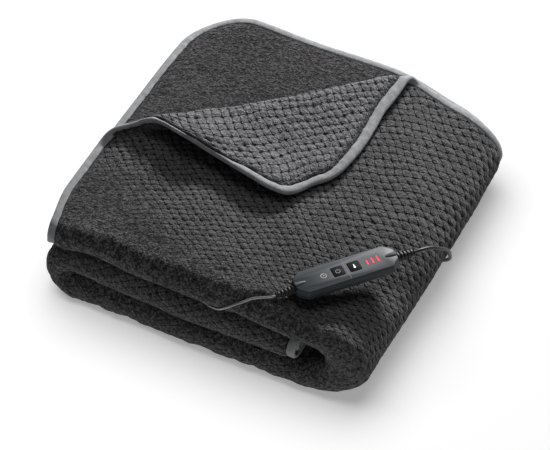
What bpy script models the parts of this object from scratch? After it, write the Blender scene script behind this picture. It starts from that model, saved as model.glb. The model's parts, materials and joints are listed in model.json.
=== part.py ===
"""Electric heated blanket, folded for storage, with one corner turned over.

Metres, +Z up. The blanket is one bound sheet. It is folded in four along its
length and then in three along its width, and it lies on the bottom panel.
X runs from the bound left edge to the big right-hand bend. Y runs from the
front rolls to the bound back edge. The origin is at the middle of the base.
"""

import bisect
import math

import bmesh
import bpy
from mathutils import Matrix, Vector
from mathutils.bvhtree import BVHTree

# ---------------------------------------------------------------- the sheet
PLY = 0.0092             # thickness of the cloth
PLY_PITCH = 0.0107       # from one ply to the next in a panel
PANEL_PITCH = 0.0434     # from one four-ply panel to the next
FOLDED_WIDTH = 0.430     # X, without the binding
FOLDED_DEPTH = 0.443     # Y, without the binding
BEND_REACH = 0.057       # how far the right-hand bend's middle reaches past its centre
BEND_PUFF = 0.45         # how much looser the plies lie in that bend
MIDDLE_END = 0.339       # X at which the middle panel's bound end stops
BACK_SETBACK = 0.010     # the top ply's back edge lies this far in from the next one's
BACK_BEND_SETBACK = 0.004  # and the inner bends at the back lie this far in
LEFT_BULGE = 0.004       # the lower fold on the left reaches out past the top panel
FRONT_DRAW = 0.010       # the top panel's front left corner is drawn in by this much
CORNER_RADIUS = 0.075    # rounded corners of the sheet
HALF_PACK = 1.5 * PLY_PITCH + PLY / 2
STACK_HEIGHT = 2 * HALF_PACK + 2 * PANEL_PITCH

# ------------------------------------------------------------- the binding
EDGE_PLY = 0.0034        # cloth thickness inside the binding
EDGE_FADE = 0.018        # the cloth reaches its full thickness this far in
BINDING_LIP = 0.0092     # how far the tape reaches in over the cloth
BINDING_WALL = 0.0010
GAP = 0.0003             # clearance between touching pieces

# ------------------------------------------------------ the turned-over corner
TURN_LEFT = 0.284        # along the left edge, from the corner to the fold
TURN_BACK = 0.312        # along the back edge, from the corner to the fold
ROLL_LEFT = 0.0120       # radius of the roll at its left end
ROLL_RIGHT = 0.0066      # and at its right end
ROLL_SWELL = 0.0045      # the roll's open left end is wider by this much
SWELL_FADE = 0.28        # share of the fold line over which that dies out
GATHER = 0.57            # how much of the cloth is gathered in the roll near its left end
GATHER_RISE = 0.14       # shares of the fold line at which that is full,
GATHER_END = 0.17        # at which it starts to die out,
GATHER_FADE = 0.13       # and over which it does
EASE = 0.10              # the flap's middle is drawn back by this share
EASE_START = 0.38
EASE_END = 0.80
EASE_FADE = 0.12
FLAP_BOW = 0.012         # how far the fold line bows in the middle
FLAP_SHIFT = 0.028       # how far the flap slips along the fold line
SHIFT_LENGTH = 0.1105    # over this length past the roll
FLAP_SETTLE = 0.085      # the flap comes down to the cloth over this length
FLAP_REST = PLY_PITCH + 0.0006
FLAP_CURL = 0.50         # how far the flap's left end is drawn up into the roll
FLAP_CURL_START = 0.06   # share of the fold line at which that starts to die out,
FLAP_CURL_FADE = 0.36    # and over which it does
FLAP_LIFT = 0.012        # the flap's edge stands up off the cloth near its left end,
LIFT_SPREAD = 0.006      # lies this much further out and to the left there,
LIFT_RISE = 0.06         # shares of the fold line at which that is full,
LIFT_END = 0.28          # at which it starts to die out,
LIFT_FADE = 0.19         # and over which it does
LIFT_REACH = 0.050       # and the length past the roll over which it comes up
TURN_FADE = 0.080        # the bow dies out over this length before the fold
ROLL_STEPS = 6
# more cuts past the roll: how far past it at its left and right ends
ROLL_CUTS = ((0.006, 0.002), (0.022, 0.008), (0.046, 0.014))
SETTLE_CUTS = (0.35, 0.7)                      # and shares of the settling length
CORNER_STEPS = 5
TUCK_RADIUS = 0.060      # the inner plies' corner is drawn in round this radius
TUCK_FADE = 0.140
TUCK_LIMIT = 0.45        # share of that radius at which the pull stops growing

# ------------------------------------------------------------ the stack's slackness
RIGHT_SLUMP = 0.10       # share of its height that the stack loses at the right
RIGHT_BACK_SLUMP = 0.06  # and more of it towards the back
RIGHT_SLUMP_START = 0.262
RIGHT_SLUMP_REACH = 0.100
LEFT_SLUMP = 0.055
LEFT_SLUMP_REACH = 0.075
SPREAD = 0.005           # the middle of the depth is wider by this on each side
RIGHT_PULL = 0.016       # the back of the right-hand bend lies forward by this much
RIGHT_PULL_START = 0.300
RIGHT_PULL_REACH = 0.130
PUSH = 0.003             # the middle of the height wanders forward and back
PUSH_PERIOD = 0.37
DRAW_DEPTH = 0.075       # the drawn-in corner's size, along Y and X
DRAW_WIDTH = 0.110

# ---------------------------------------------------------------- the handset
HANDSET_LENGTH = 0.1330
HANDSET_WIDTH = 0.0375
HANDSET_HEIGHT = 0.0150
HANDSET_CENTRE = (0.3635, 0.0920)              # X and Y, from the folded corner
HANDSET_YAW = math.radians(50.5)
HANDSET_PITCH = math.radians(1.6)              # its right end lies lower
HANDSET_END = 0.0105                           # length of the tapered ends
HANDSET_END_WIDTH = 0.0170
HANDSET_EDGE = 0.0016                          # the top face is this much smaller all round
HANDSET_WIDEST = (0.35, 0.55)                  # shares of its height between which it is widest
HANDSET_SINK = 0.0060                          # how far it presses into the stack
PRESS_REACH = 0.62                             # share of its length that it presses down, each way
KEY_SIDE = 0.0146
KEY_HEIGHT = 0.0026
KEY_PROUD = 0.0002
KEY_CORNER = 0.0015
KEY_TRAVEL = 0.0007
KEY_PLACES = {"key_power": -0.0100, "key_heat": 0.0112}
LAMP_WIDTH = 0.0024
LAMP_DEPTH = 0.0008
LAMP_CORNER = 0.0005
LAMPS = {"lamp_low": (0.0280, 0.0075), "lamp_middle": (0.0350, 0.0088), "lamp_high": (0.0420, 0.0100)}
LEAD_HEIGHT = 0.45 * HANDSET_HEIGHT            # the leads' height above the handset's underside
RELIEF_LENGTH = 0.0225
RELIEF_RIBS = 5
RELIEF_ROOT = 0.0112
RELIEF_WALL = 0.0014
RIB = ((0.15, 0.0), (0.55, 0.0), (0.65, 0.0008), (0.95, 0.0008))     # share of a rib, and depth

# ------------------------------------------------------------------ the leads
MAINS_LEAD = 0.0044      # diameter of the lead to the plug
BLANKET_LEAD = 0.0030    # diameter of the lead to the blanket
LEAD_STEP = 2.6          # diameters between the points of a lead
MAINS_STRAIGHT = 0.010   # how far each lead goes straight on from its relief
BLANKET_STRAIGHT = 0.006
SLEEVE_LENGTH = 0.022
SLEEVE_ROOT = 0.0019     # radius at the cloth
SLEEVE_TIP = 0.0017
COIL_MIDDLE = 0.0262     # radius at the middle of the coil's turns
COIL_COLUMNS = 4
COIL_ROWS = 2
TURN_PITCH = 0.0047
COIL_CENTRE = (0.2350, 0.4915)
PLUG_LENGTH = 0.0330
PLUG_WIDTH = 0.0260
PLUG_HEIGHT = 0.0136
PLUG_CORNER = 0.006
PLUG_TAIL = 0.0220
TAIL_ROOT = 0.0100
TAIL_WALL = 0.0009
TAIL_RIBS = 4
TAIL_PLACE = (-0.026, -0.027)                  # the tail's tip from the coil's left side and centre
PLUG_YAW = math.radians(176)
PIN_SPACING = 0.0190
PIN_LENGTH = 0.0190
PIN_DIAMETER = 0.0040
PIN_POINT = 0.0010

# the thin lead's way round the front roll: X, and the angle round the roll in degrees
ROLL_ROUTE = ((0.2940, 88), (0.2850, 62), (0.2740, 38), (0.2630, 16), (0.2530, -6), (0.2430, -28),
              (0.2310, -50))
# and on along the groove: X and Y
GROOVE_ROUTE = ((0.2190, 0.0124), (0.2070, 0.0135), (0.1950, 0.0136))

# the mains lead's way over the right edge and down, and then along the floor behind the stack
MAINS_ROUTE = (
    (0.4340, 0.1815, 0.1180),
    (0.4400, 0.1920, 0.1095),
    (0.4435, 0.2050, 0.0965),
    (0.4440, 0.2165, 0.0810),
    (0.4415, 0.2260, 0.0650),
    (0.4385, 0.2350, 0.0490),
    (0.4315, 0.2440, 0.0330),
    (0.4210, 0.2530, 0.0185),
    (0.4090, 0.2650, 0.0085),
    (0.3995, 0.2810, 0.0038),
)
FLOOR_ROUTE = (
    (0.3935, 0.3020),
    (0.3920, 0.3300),
    (0.3920, 0.3700),
    (0.3915, 0.4050),
    (0.3870, 0.4300),
    (0.3730, 0.4480),
    (0.3500, 0.4560),
    (0.3200, 0.4575),
)
LAST_FLOOR_X = 0.2800
# from the coil to the plug: X from the coil's centre, Y from its side, Z from its upper row
PLUG_ROUTE = ((-0.005, -0.0002, 0.0), (-0.020, 0.0005, -0.0002))
PLUG_BEND = (-0.038, 0.0040)
PLUG_APPROACH = (0.014, -0.0020, 0.0)

# slow waves that take the stiffness out of the stack: size, period X, period Y, phase
WAVES = (
    (0.0016, 0.310, 0.270, 0.4),
    (0.0012, 0.170, 0.230, 2.1),
    (0.0008, 0.105, 0.140, 4.0),
)


# ------------------------------------------------------------ scene and materials

def clear_scene():
    for item in list(bpy.data.objects):
        bpy.data.objects.remove(item, do_unlink=True)


def make_collection(name):
    group = bpy.data.collections.new(name)
    bpy.context.scene.collection.children.link(group)
    return group


def make_material(name, colour, roughness, metallic=0.0):
    material = bpy.data.materials.new(name)
    material.use_nodes = True
    shader = material.node_tree.nodes["Principled BSDF"]
    shader.inputs["Base Color"].default_value = (*colour, 1.0)
    shader.inputs["Roughness"].default_value = roughness
    shader.inputs["Metallic"].default_value = metallic
    return material


def add_object(name, data, material, group):
    item = bpy.data.objects.new(name, data)
    item.data.materials.append(material)
    group.objects.link(item)
    return item


def mesh_object(name, bm, material, group):
    """Turn a bmesh into a named object with triangulated faces."""
    bmesh.ops.triangulate(bm, faces=bm.faces[:])
    bmesh.ops.recalc_face_normals(bm, faces=bm.faces[:])
    mesh = bpy.data.meshes.new(name)
    bm.to_mesh(mesh)
    bm.free()
    return add_object(name, mesh, material, group)


# --------------------------------------------------------------- the fold courses

class Course:
    """A flat line of straight runs and bends, read by the length along it."""

    STEPS = 48

    def __init__(self, start, heading, normal_side):
        self.side = normal_side
        self.heading = Vector(heading)
        self.points = [Vector(start)]
        self.normals = [self.normal_here()]
        self.length = 0.0
        self.lengths = [0.0]
        self.cuts = []
        self.bends = []

    def normal_here(self):
        return self.side * Vector((-self.heading.y, self.heading.x))

    def step_to(self, point):
        self.length += (point - self.points[-1]).length
        self.points.append(point)
        self.normals.append(self.normal_here())
        self.lengths.append(self.length)

    def run(self, distance, pieces):
        """Go straight on, and note where the run is cut into pieces."""
        first = self.length
        self.step_to(self.points[-1] + self.heading * distance)
        self.cuts += [first + distance * piece / pieces for piece in range(1, pieces + 1)]

    def bend(self, height, reach, turn, pieces):
        """Turn back round half an ellipse, to the left for turn 1 or the right for -1."""
        first = self.length
        start = self.points[-1].copy()
        ahead = self.heading.copy()
        across = turn * Vector((-ahead.y, ahead.x))
        per_piece = self.STEPS // pieces
        for step in range(1, per_piece * pieces + 1):
            angle = math.pi * step / (per_piece * pieces)
            tangent = ahead * reach * math.cos(angle) + across * height / 2 * math.sin(angle)
            self.heading = tangent.normalized()
            offset = ahead * reach * math.sin(angle) + across * height / 2 * (1 - math.cos(angle))
            self.step_to(start + offset)
            if step % per_piece == 0:
                self.cuts.append(self.length)
        self.bends.append((first, self.length))

    def read(self, length):
        """Point and normal at a length; both ends run on straight."""
        inside = min(max(length, 0.0), self.length)
        place = min(bisect.bisect_right(self.lengths, inside), len(self.lengths) - 1)
        before = self.lengths[place - 1]
        share = (inside - before) / (self.lengths[place] - before)
        point = self.points[place - 1].lerp(self.points[place], share)
        normal = self.normals[place - 1].lerp(self.normals[place], share).normalized()
        ahead = self.side * Vector((normal.y, -normal.x))
        return point + ahead * (length - inside), normal


def lengthwise_course():
    """Four plies in one panel: Y against the height from the panel's middle."""
    top_ply = 1.5 * PLY_PITCH
    front = HALF_PACK
    back = FOLDED_DEPTH - PLY_PITCH / 2 - PLY / 2 - BACK_BEND_SETBACK
    course = Course((FOLDED_DEPTH - BACK_SETBACK, top_ply), (-1, 0), -1)
    course.run(FOLDED_DEPTH - BACK_SETBACK - front, 8)
    course.bend(2 * top_ply, top_ply, 1, 6)
    course.run(back - front, 3)
    course.bend(PLY_PITCH, PLY_PITCH / 2, 1, 4)
    course.run(back - front, 3)
    course.bend(PLY_PITCH, PLY_PITCH / 2, -1, 6)
    course.run(FOLDED_DEPTH - front, 4)
    return course


def widthwise_course():
    """Three panels: X against the height of the panel's middle."""
    right = BEND_START
    left = PANEL_PITCH / 2 + HALF_PACK - LEFT_BULGE
    course = Course((0.0, HALF_PACK + 2 * PANEL_PITCH), (1, 0), 1)
    course.run(right, 8)
    course.bend(2 * PANEL_PITCH, BEND_REACH, -1, 8)
    course.run(right - left, 4)
    course.bend(PANEL_PITCH, PANEL_PITCH / 2, -1, 6)
    course.run(MIDDLE_END - left, 4)
    return course


BEND_START = FOLDED_WIDTH - BEND_REACH - 1.5 * PLY_PITCH * (1 + BEND_PUFF) - PLY / 2
LENGTHWISE = lengthwise_course()
WIDTHWISE = widthwise_course()


# ------------------------------------------------------- from flat sheet to fold

def smooth(value):
    value = min(max(value, 0.0), 1.0)
    return value * value * (3 - 2 * value)


TURN_LINE = math.hypot(TURN_BACK, TURN_LEFT)
TURN_REACH = TURN_BACK * TURN_LEFT / TURN_LINE
TOP_PLY_Z = HALF_PACK + 2 * PANEL_PITCH + 1.5 * PLY_PITCH
TURN_START = Vector((0.0, FOLDED_DEPTH - BACK_SETBACK - TURN_LEFT))
TURN_ALONG = Vector((TURN_BACK, TURN_LEFT)) / TURN_LINE
TURN_OUT = Vector((-TURN_LEFT, TURN_BACK)) / TURN_LINE


def turn_place(s, t):
    """Distance past the turned corner's fold line, and the share along it."""
    past = TURN_REACH * (1 - s / TURN_BACK - t / TURN_LEFT)
    along = (s * TURN_BACK - (t - TURN_LEFT) * TURN_LEFT) / TURN_LINE
    return past, along / TURN_LINE


def roll_radius(share):
    even = ROLL_LEFT + (ROLL_RIGHT - ROLL_LEFT) * min(max(share, -0.1), 1.1)
    return even + ROLL_SWELL * (1 - smooth(share / SWELL_FADE))


def gathered(past, share):
    """The distance past the fold line that is left once the cloth is gathered and eased."""
    gather = GATHER * smooth(share / GATHER_RISE) * (1 - smooth((share - GATHER_END) / GATHER_FADE))
    ease = EASE * smooth((share - EASE_START) / EASE_FADE) * (1 - smooth((share - EASE_END) / EASE_FADE))
    return past * (1 - gather) * (1 - ease)


def fold_bow(share):
    return FLAP_BOW * math.sin(math.pi * min(max(share, 0.0), 1.0))


def lifted(back, share):
    """From 0 to 1: how much the flap's edge stands up off the cloth."""
    return smooth(share / LIFT_RISE) * (1 - smooth((share - LIFT_END) / LIFT_FADE)) * smooth(back / LIFT_REACH)


def turned_corner(past, share, w):
    """The corner's place once it is rolled up and laid back over the top ply."""
    radius = roll_radius(share)
    past = gathered(past, share)
    foot = TURN_START + TURN_ALONG * share * TURN_LINE - TURN_OUT * fold_bow(share)
    arc = math.pi * radius
    if past < arc:
        angle = past / radius
        flat = foot + TURN_OUT * (radius - w) * math.sin(angle)
        return Vector((*flat, TOP_PLY_Z + radius - (radius - w) * math.cos(angle)))
    back = past - arc
    drawn = back * (1 - FLAP_CURL * (1 - smooth((share - FLAP_CURL_START) / FLAP_CURL_FADE)))
    lift = lifted(back, share)
    flat = foot - TURN_OUT * (drawn + LIFT_SPREAD * lift)
    flat += TURN_ALONG * (FLAP_SHIFT * smooth(back / SHIFT_LENGTH) - LIFT_SPREAD * lift)
    drop = (2 * radius - FLAP_REST) * smooth(back / FLAP_SETTLE) - FLAP_LIFT * lift
    return Vector((*flat, TOP_PLY_Z + 2 * radius - drop - w))


def pressed_by_handset(x, y):
    """How far the handset sinks into the pile, from 0 to 1."""
    along = Vector((math.cos(HANDSET_YAW), math.sin(HANDSET_YAW)))
    away = Vector((x, y)) - Vector(HANDSET_CENTRE)
    ahead = away.dot(along) / (PRESS_REACH * HANDSET_LENGTH)
    aside = away.dot(Vector((-along.y, along.x))) / HANDSET_WIDTH
    return math.exp(-(ahead ** 4) - aside ** 2)


def laid(point):
    """The soft unevenness of the stack. The base stays flat."""
    x, y, z = point
    share = z / STACK_HEIGHT
    lift = -HANDSET_SINK * pressed_by_handset(x, y)
    for size, period_x, period_y, phase in WAVES:
        wave = math.sin(2 * math.pi * x / period_x + phase)
        lift += size * wave * math.cos(2 * math.pi * y / period_y + 1.7 * phase)
    to_back = y / FOLDED_DEPTH
    slump = (RIGHT_SLUMP + RIGHT_BACK_SLUMP * to_back) * smooth((x - RIGHT_SLUMP_START) / RIGHT_SLUMP_REACH)
    slump += LEFT_SLUMP * (1 - smooth(x / LEFT_SLUMP_REACH))
    z += share * lift - z * slump * smooth(share * 1.6)
    spread = SPREAD * math.sin(math.pi * to_back) * (2 * x / FOLDED_WIDTH - 1)
    pull = RIGHT_PULL * smooth((x - RIGHT_PULL_START) / RIGHT_PULL_REACH) * smooth(to_back)
    push = PUSH * math.sin(2 * math.pi * x / PUSH_PERIOD + 1.1) * math.sin(math.pi * share)
    top_only = smooth(4 * share - 2.4)
    draw = FRONT_DRAW * (1 - smooth(y / DRAW_DEPTH)) * (1 - smooth(x / DRAW_WIDTH)) * top_only
    return Vector((x + draw + spread * smooth(share + 0.3), y + push - pull, z))


def tucked_corner(s, y):
    """The inner plies' back left corner is drawn in under the rounded ones."""
    behind = y - (FOLDED_DEPTH - TUCK_RADIUS)
    if behind <= 0 or s >= TUCK_FADE:
        return 0.0
    pull = TUCK_RADIUS - math.sqrt(max(TUCK_RADIUS ** 2 - behind ** 2, (TUCK_LIMIT * TUCK_RADIUS) ** 2))
    return pull * (1 - s / TUCK_FADE)


def folded(s, t, w):
    """Where a point of the flat sheet lies in the folded blanket.

    s runs across the sheet and t along it, both from the turned-over corner.
    w is the height over the middle of the cloth's thickness.
    """
    past, share = turn_place(s, t)
    if past > 0:
        return laid(turned_corner(past, share, w))
    ply, ply_normal = LENGTHWISE.read(t)
    panel, panel_normal = WIDTHWISE.read(s)
    bend_first, bend_last = WIDTHWISE.bends[0]
    turned = min(max((s - bend_first) / (bend_last - bend_first), 0.0), 1.0)
    puff = 1 + BEND_PUFF * math.sin(math.pi * turned) ** 2
    y = ply.x + ply_normal.x * w
    x, z = panel + panel_normal * (ply.y * puff + ply_normal.y * w)
    if LENGTHWISE.bends[0][1] < t < LENGTHWISE.bends[2][0]:
        x += tucked_corner(s, y)
    if past > -TURN_FADE and s < TURN_BACK and t < TURN_LEFT:
        bow = fold_bow(share) * smooth(1 + past / TURN_FADE)
        x -= TURN_OUT.x * bow
        y -= TURN_OUT.y * bow
    return laid((x, y, z))


# ------------------------------------------------------------------- the sheet

def outline(inset):
    """The sheet's rounded rectangle, moved inwards, as points round its edge."""
    points = []
    radius = CORNER_RADIUS
    width, length = WIDTHWISE.length, LENGTHWISE.length
    corners = ((radius, radius, 180), (width - radius, radius, 270),
               (width - radius, length - radius, 0), (radius, length - radius, 90))
    for x, y, first in corners:
        for step in range(CORNER_STEPS + 1):
            angle = math.radians(first + 90 * step / CORNER_STEPS)
            reach = radius - inset
            points.append((x + reach * math.cos(angle), y + reach * math.sin(angle)))
    return points


def loft(profile, closed):
    """Skin the sheet's outline at each (inset, w) of a profile."""
    bm = bmesh.new()
    rings = [[bm.verts.new((x, y, w)) for x, y in outline(inset)] for inset, w in profile]
    pairs = list(zip(rings, rings[1:]))
    if closed:
        pairs.append((rings[-1], rings[0]))
    else:
        bm.faces.new(rings[0])
        bm.faces.new(rings[-1])
    for lower, upper in pairs:
        for k in range(len(lower)):
            after = (k + 1) % len(lower)
            bm.faces.new((lower[k], lower[after], upper[after], upper[k]))
    bmesh.ops.recalc_face_normals(bm, faces=bm.faces[:])
    return bm


def cut_across(bm, place, normal):
    geometry = bm.verts[:] + bm.edges[:] + bm.faces[:]
    bmesh.ops.bisect_plane(bm, geom=geometry, dist=1e-6, plane_co=place, plane_no=normal)


def cut_for_folding(bm):
    """Cut the flat shape wherever it bends, so that it can be folded there."""
    for s in WIDTHWISE.cuts[:-1]:
        cut_across(bm, (s, 0, 0), (1, 0, 0))
    for t in LENGTHWISE.cuts[:-1]:
        cut_across(bm, (0, t, 0), (0, 1, 0))
    lines = [(step / ROLL_STEPS, 0.0, 0.0) for step in range(ROLL_STEPS + 1)]
    lines += [(1.0, left, right) for left, right in ROLL_CUTS]
    lines += [(1.0, FLAP_SETTLE * share, FLAP_SETTLE * share) for share in SETTLE_CUTS]
    inward = Vector((TURN_LEFT, TURN_BACK, 0)) / TURN_LINE
    for turn, extra_left, extra_right in lines:
        left = Vector((0, TURN_LEFT, 0)) - inward * (turn * math.pi * ROLL_LEFT + extra_left)
        right = Vector((TURN_BACK, 0, 0)) - inward * (turn * math.pi * ROLL_RIGHT + extra_right)
        along = right - left
        cut_across(bm, left, (-along.y, along.x, 0))


def fold_up(bm):
    for vertex in bm.verts:
        vertex.co = folded(*vertex.co)


def make_cloth(group):
    half, edge = PLY / 2, EDGE_PLY / 2
    inner = BINDING_LIP + 2 * GAP
    profile = [(EDGE_FADE, -half), (inner, -edge), (0, -edge), (0, edge), (inner, edge), (EDGE_FADE, half)]
    bm = loft(profile, closed=False)
    cut_for_folding(bm)
    fold_up(bm)
    fleece = make_material("charcoal fleece", (0.052, 0.050, 0.052), 0.95)
    return mesh_object("cloth", bm, fleece, group)


def make_binding(group):
    """The tape round the whole edge, one closed band with the cloth in its groove."""
    groove = EDGE_PLY / 2 + GAP
    outer = groove + BINDING_WALL
    rim = -GAP - BINDING_WALL
    profile = [(BINDING_LIP, -outer), (0, -outer), (rim, -outer / 2), (rim, outer / 2), (0, outer),
               (BINDING_LIP, outer), (BINDING_LIP, groove), (-GAP, groove), (-GAP, -groove),
               (BINDING_LIP, -groove)]
    bm = loft(profile, closed=True)
    cut_for_folding(bm)
    fold_up(bm)
    tape = make_material("grey tape", (0.20, 0.205, 0.21), 0.6)
    return mesh_object("binding", bm, tape, group)


# ----------------------------------------------------------------- the handset

def rest_height(cloth, frame, corners):
    """The height at which a level or tilted plate first meets the cloth below."""
    tree = BVHTree.FromObject(cloth, bpy.context.evaluated_depsgraph_get())
    (x0, y0), (x1, y1) = corners
    across, along = 24, 12
    highest = -math.inf
    for i in range(across + 1):
        for j in range(along + 1):
            foot = frame @ Vector((x0 + (x1 - x0) * i / across, y0 + (y1 - y0) * j / along, 0))
            hit = tree.ray_cast(Vector((foot.x, foot.y, 1.0)), Vector((0, 0, -1)))[0]
            highest = max(highest, hit.z - foot.z)
    return highest + GAP


def place_handset(cloth):
    """An empty at the middle of the handset's underside; X runs along the handset."""
    turn = Matrix.Rotation(HANDSET_YAW, 4, "Z") @ Matrix.Rotation(HANDSET_PITCH, 4, "Y")
    frame = Matrix.Translation((*HANDSET_CENTRE, 0)) @ turn
    half = (HANDSET_LENGTH / 2, HANDSET_WIDTH / 2)
    height = rest_height(cloth, frame, ((-half[0], -half[1]), half))
    return Matrix.Translation((0, 0, height)) @ frame


def handset_outline(inset):
    """Eight corners: a long plate whose ends taper in steps."""
    length, width = HANDSET_LENGTH / 2 - inset, HANDSET_WIDTH / 2 - inset
    end, tip = HANDSET_END, HANDSET_END_WIDTH / 2 - inset / 2
    quarter = [(length, tip), (length - end, width)]
    upper = quarter + [(-x, y) for x, y in reversed(quarter)]
    return upper + [(-x, -y) for x, y in upper]


def stacked(levels):
    """A closed solid skinned through outlines, each at its height."""
    bm = bmesh.new()
    rings = [[bm.verts.new((x, y, z)) for x, y in points] for points, z in levels]
    bm.faces.new(rings[0])
    bm.faces.new(rings[-1])
    for lower, upper in zip(rings, rings[1:]):
        for k in range(len(lower)):
            after = (k + 1) % len(lower)
            bm.faces.new((lower[k], lower[after], upper[after], upper[k]))
    return bm


def rounded_plate(size_x, size_y, bottom, top, corner):
    """A box with rounded upright edges."""
    bm = bmesh.new()
    bmesh.ops.create_cube(bm, size=1.0)
    bmesh.ops.scale(bm, vec=(size_x, size_y, top - bottom), verts=bm.verts)
    bmesh.ops.translate(bm, vec=(0, 0, (bottom + top) / 2), verts=bm.verts)
    upright = [edge for edge in bm.edges if abs(edge.verts[0].co.z - edge.verts[1].co.z) > 1e-5]
    bmesh.ops.bevel(bm, geom=upright, offset=corner, offset_type="OFFSET", segments=3,
                    profile=0.5, affect="EDGES")
    return bm


def cut_pocket(item, bm, name, place, guides):
    """Take a pocket out of a piece with a Boolean."""
    cutter = mesh_object(name, bm, item.data.materials[0], guides)
    cutter.matrix_world = place
    cutter.display_type = "WIRE"
    cutter.hide_render = True
    pocket = item.modifiers.new(name, "BOOLEAN")
    pocket.operation = "DIFFERENCE"
    pocket.object = cutter


def lamp_shift(length):
    """The bars start on one line and grow towards the back."""
    return (length - LAMPS["lamp_low"][1]) / 2


def make_handset(place, group, guides):
    plastic = make_material("slate grey plastic", (0.035, 0.042, 0.048), 0.45)
    key_black = make_material("black key plastic", (0.010, 0.010, 0.012), 0.35)
    lamp_red = make_material("red lamp lens", (0.60, 0.02, 0.04), 0.3)
    chamfer, top = HANDSET_EDGE, HANDSET_HEIGHT
    low, high = (share * top for share in HANDSET_WIDEST)
    levels = [(handset_outline(2 * chamfer), 0), (handset_outline(0), low), (handset_outline(0), high),
              (handset_outline(chamfer), top)]
    housing = mesh_object("handset_housing", stacked(levels), plastic, group)
    housing.matrix_world = place
    pocket_floor = top + KEY_PROUD - KEY_HEIGHT - KEY_TRAVEL - GAP
    for name, x in KEY_PLACES.items():
        at = place @ Matrix.Translation((x, 0, 0))
        side = KEY_SIDE + 2 * GAP
        pocket = rounded_plate(side, side, pocket_floor, 2 * top, KEY_CORNER + GAP)
        cut_pocket(housing, pocket, name + "_pocket", at, guides)
        bottom = top + KEY_PROUD - KEY_HEIGHT
        key = rounded_plate(KEY_SIDE, KEY_SIDE, bottom, top + KEY_PROUD, KEY_CORNER)
        mesh_object(name, key, key_black, group).matrix_world = at
    for name, (x, length) in LAMPS.items():
        at = place @ Matrix.Translation((x, lamp_shift(length), 0))
        width, long = LAMP_WIDTH + 2 * GAP, length + 2 * GAP
        pocket = rounded_plate(width, long, top - LAMP_DEPTH - GAP, 2 * top, LAMP_CORNER + GAP)
        cut_pocket(housing, pocket, name + "_pocket", at, guides)
        lens = rounded_plate(LAMP_WIDTH, length, top - LAMP_DEPTH, top, LAMP_CORNER)
        mesh_object(name, lens, lamp_red, group).matrix_world = at


def turned(name, profile, material, group, steps=12):
    """Turn (radius, height) points round Z. The profile runs up the outer side."""
    bm = bmesh.new()
    points = [bm.verts.new((radius, 0, height)) for radius, height in profile]
    for a, b in zip(points, points[1:]):
        bm.edges.new((a, b))
    if profile[0][0] > 0:
        bm.edges.new((points[-1], points[0]))
    bmesh.ops.spin(bm, geom=bm.verts[:] + bm.edges[:], axis=(0, 0, 1), cent=(0, 0, 0),
                   angle=2 * math.pi, steps=steps, use_merge=True)
    bmesh.ops.remove_doubles(bm, verts=bm.verts, dist=1e-6)
    return mesh_object(name, bm, material, group)


def ribbed_profile(length, wide, narrow, ribs):
    """A tapered strain relief with grooves between its ribs, from its root to its tip."""
    profile = [(0.0, 0.0), (wide / 2, 0.0)]
    for rib in range(ribs):
        for share, depth in RIB:
            along = (rib + share) / ribs
            profile.append((wide / 2 + (narrow - wide) / 2 * along - depth, length * along))
    return profile + [(narrow / 2, length), (0.0, length)]


def make_reliefs(place, group):
    """The sleeves that the two leads leave the handset by, one at each end."""
    rubber = make_material("black rubber", (0.016, 0.016, 0.018), 0.6)
    start = HANDSET_LENGTH / 2 + GAP
    for name, side, lead in (("relief_mains", 1, MAINS_LEAD), ("relief_blanket", -1, BLANKET_LEAD)):
        profile = ribbed_profile(RELIEF_LENGTH, RELIEF_ROOT, lead + 2 * RELIEF_WALL, RELIEF_RIBS)
        relief = turned(name, profile, rubber, group)
        aim = Matrix.Rotation(side * math.pi / 2, 4, "Y")
        relief.matrix_world = place @ Matrix.Translation((side * start, 0, LEAD_HEIGHT)) @ aim


# -------------------------------------------------------------------- the leads

def smooth_route(points, spacing):
    """Points at an even spacing on a smooth curve through the route's own points."""
    ends = [2 * points[0] - points[1]] + points + [2 * points[-1] - points[-2]]
    dense = []
    steps = 12
    for a, b, c, d in zip(ends, ends[1:], ends[2:], ends[3:]):
        for step in range(steps):
            u = step / steps
            dense.append(0.5 * (2 * b + (c - a) * u + (2 * a - 5 * b + 4 * c - d) * u ** 2
                                + (3 * b - a - 3 * c + d) * u ** 3))
    dense.append(points[-1])
    total = sum((b - a).length for a, b in zip(dense, dense[1:]))
    count = max(2, round(total / spacing))
    result, walked, target = [dense[0]], 0.0, total / count
    for a, b in zip(dense, dense[1:]):
        step = (b - a).length
        while walked + step >= target * len(result) and len(result) < count:
            result.append(a.lerp(b, (target * len(result) - walked) / step))
        walked += step
    return result + [dense[-1]]


def make_lead(name, route, diameter, material, group):
    """A plain round tube along a route."""
    points = smooth_route([Vector(point) for point in route], LEAD_STEP * diameter)
    curve = bpy.data.curves.new(name, "CURVE")
    curve.dimensions = "3D"
    curve.bevel_depth = diameter / 2
    curve.bevel_resolution = 2
    curve.render_resolution_u = 0
    curve.use_fill_caps = True
    spline = curve.splines.new("POLY")
    spline.points.add(len(points) - 1)
    for knot, point in zip(spline.points, points):
        knot.co = (*point, 1.0)
    return add_object(name, curve, material, group)


def mains_route(place):
    """From the handset, over the right edge, down under the bulge and round to the coil."""
    start = place @ Vector((HANDSET_LENGTH / 2 + 2 * GAP + RELIEF_LENGTH, 0, LEAD_HEIGHT))
    ahead = place.to_3x3() @ Vector((1, 0, 0))
    coil_side = COIL_CENTRE[1] - coil_outer() - GAP - MAINS_LEAD / 2
    floor = MAINS_LEAD / 2 + GAP
    route = [start, start + ahead * MAINS_STRAIGHT, *MAINS_ROUTE]
    route += [(x, y, floor) for x, y in FLOOR_ROUTE]
    route.append((LAST_FLOOR_X, 0.5 * (FLOOR_ROUTE[-1][1] + coil_side), floor))
    route.append((COIL_CENTRE[0], coil_side, floor))
    return route


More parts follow.
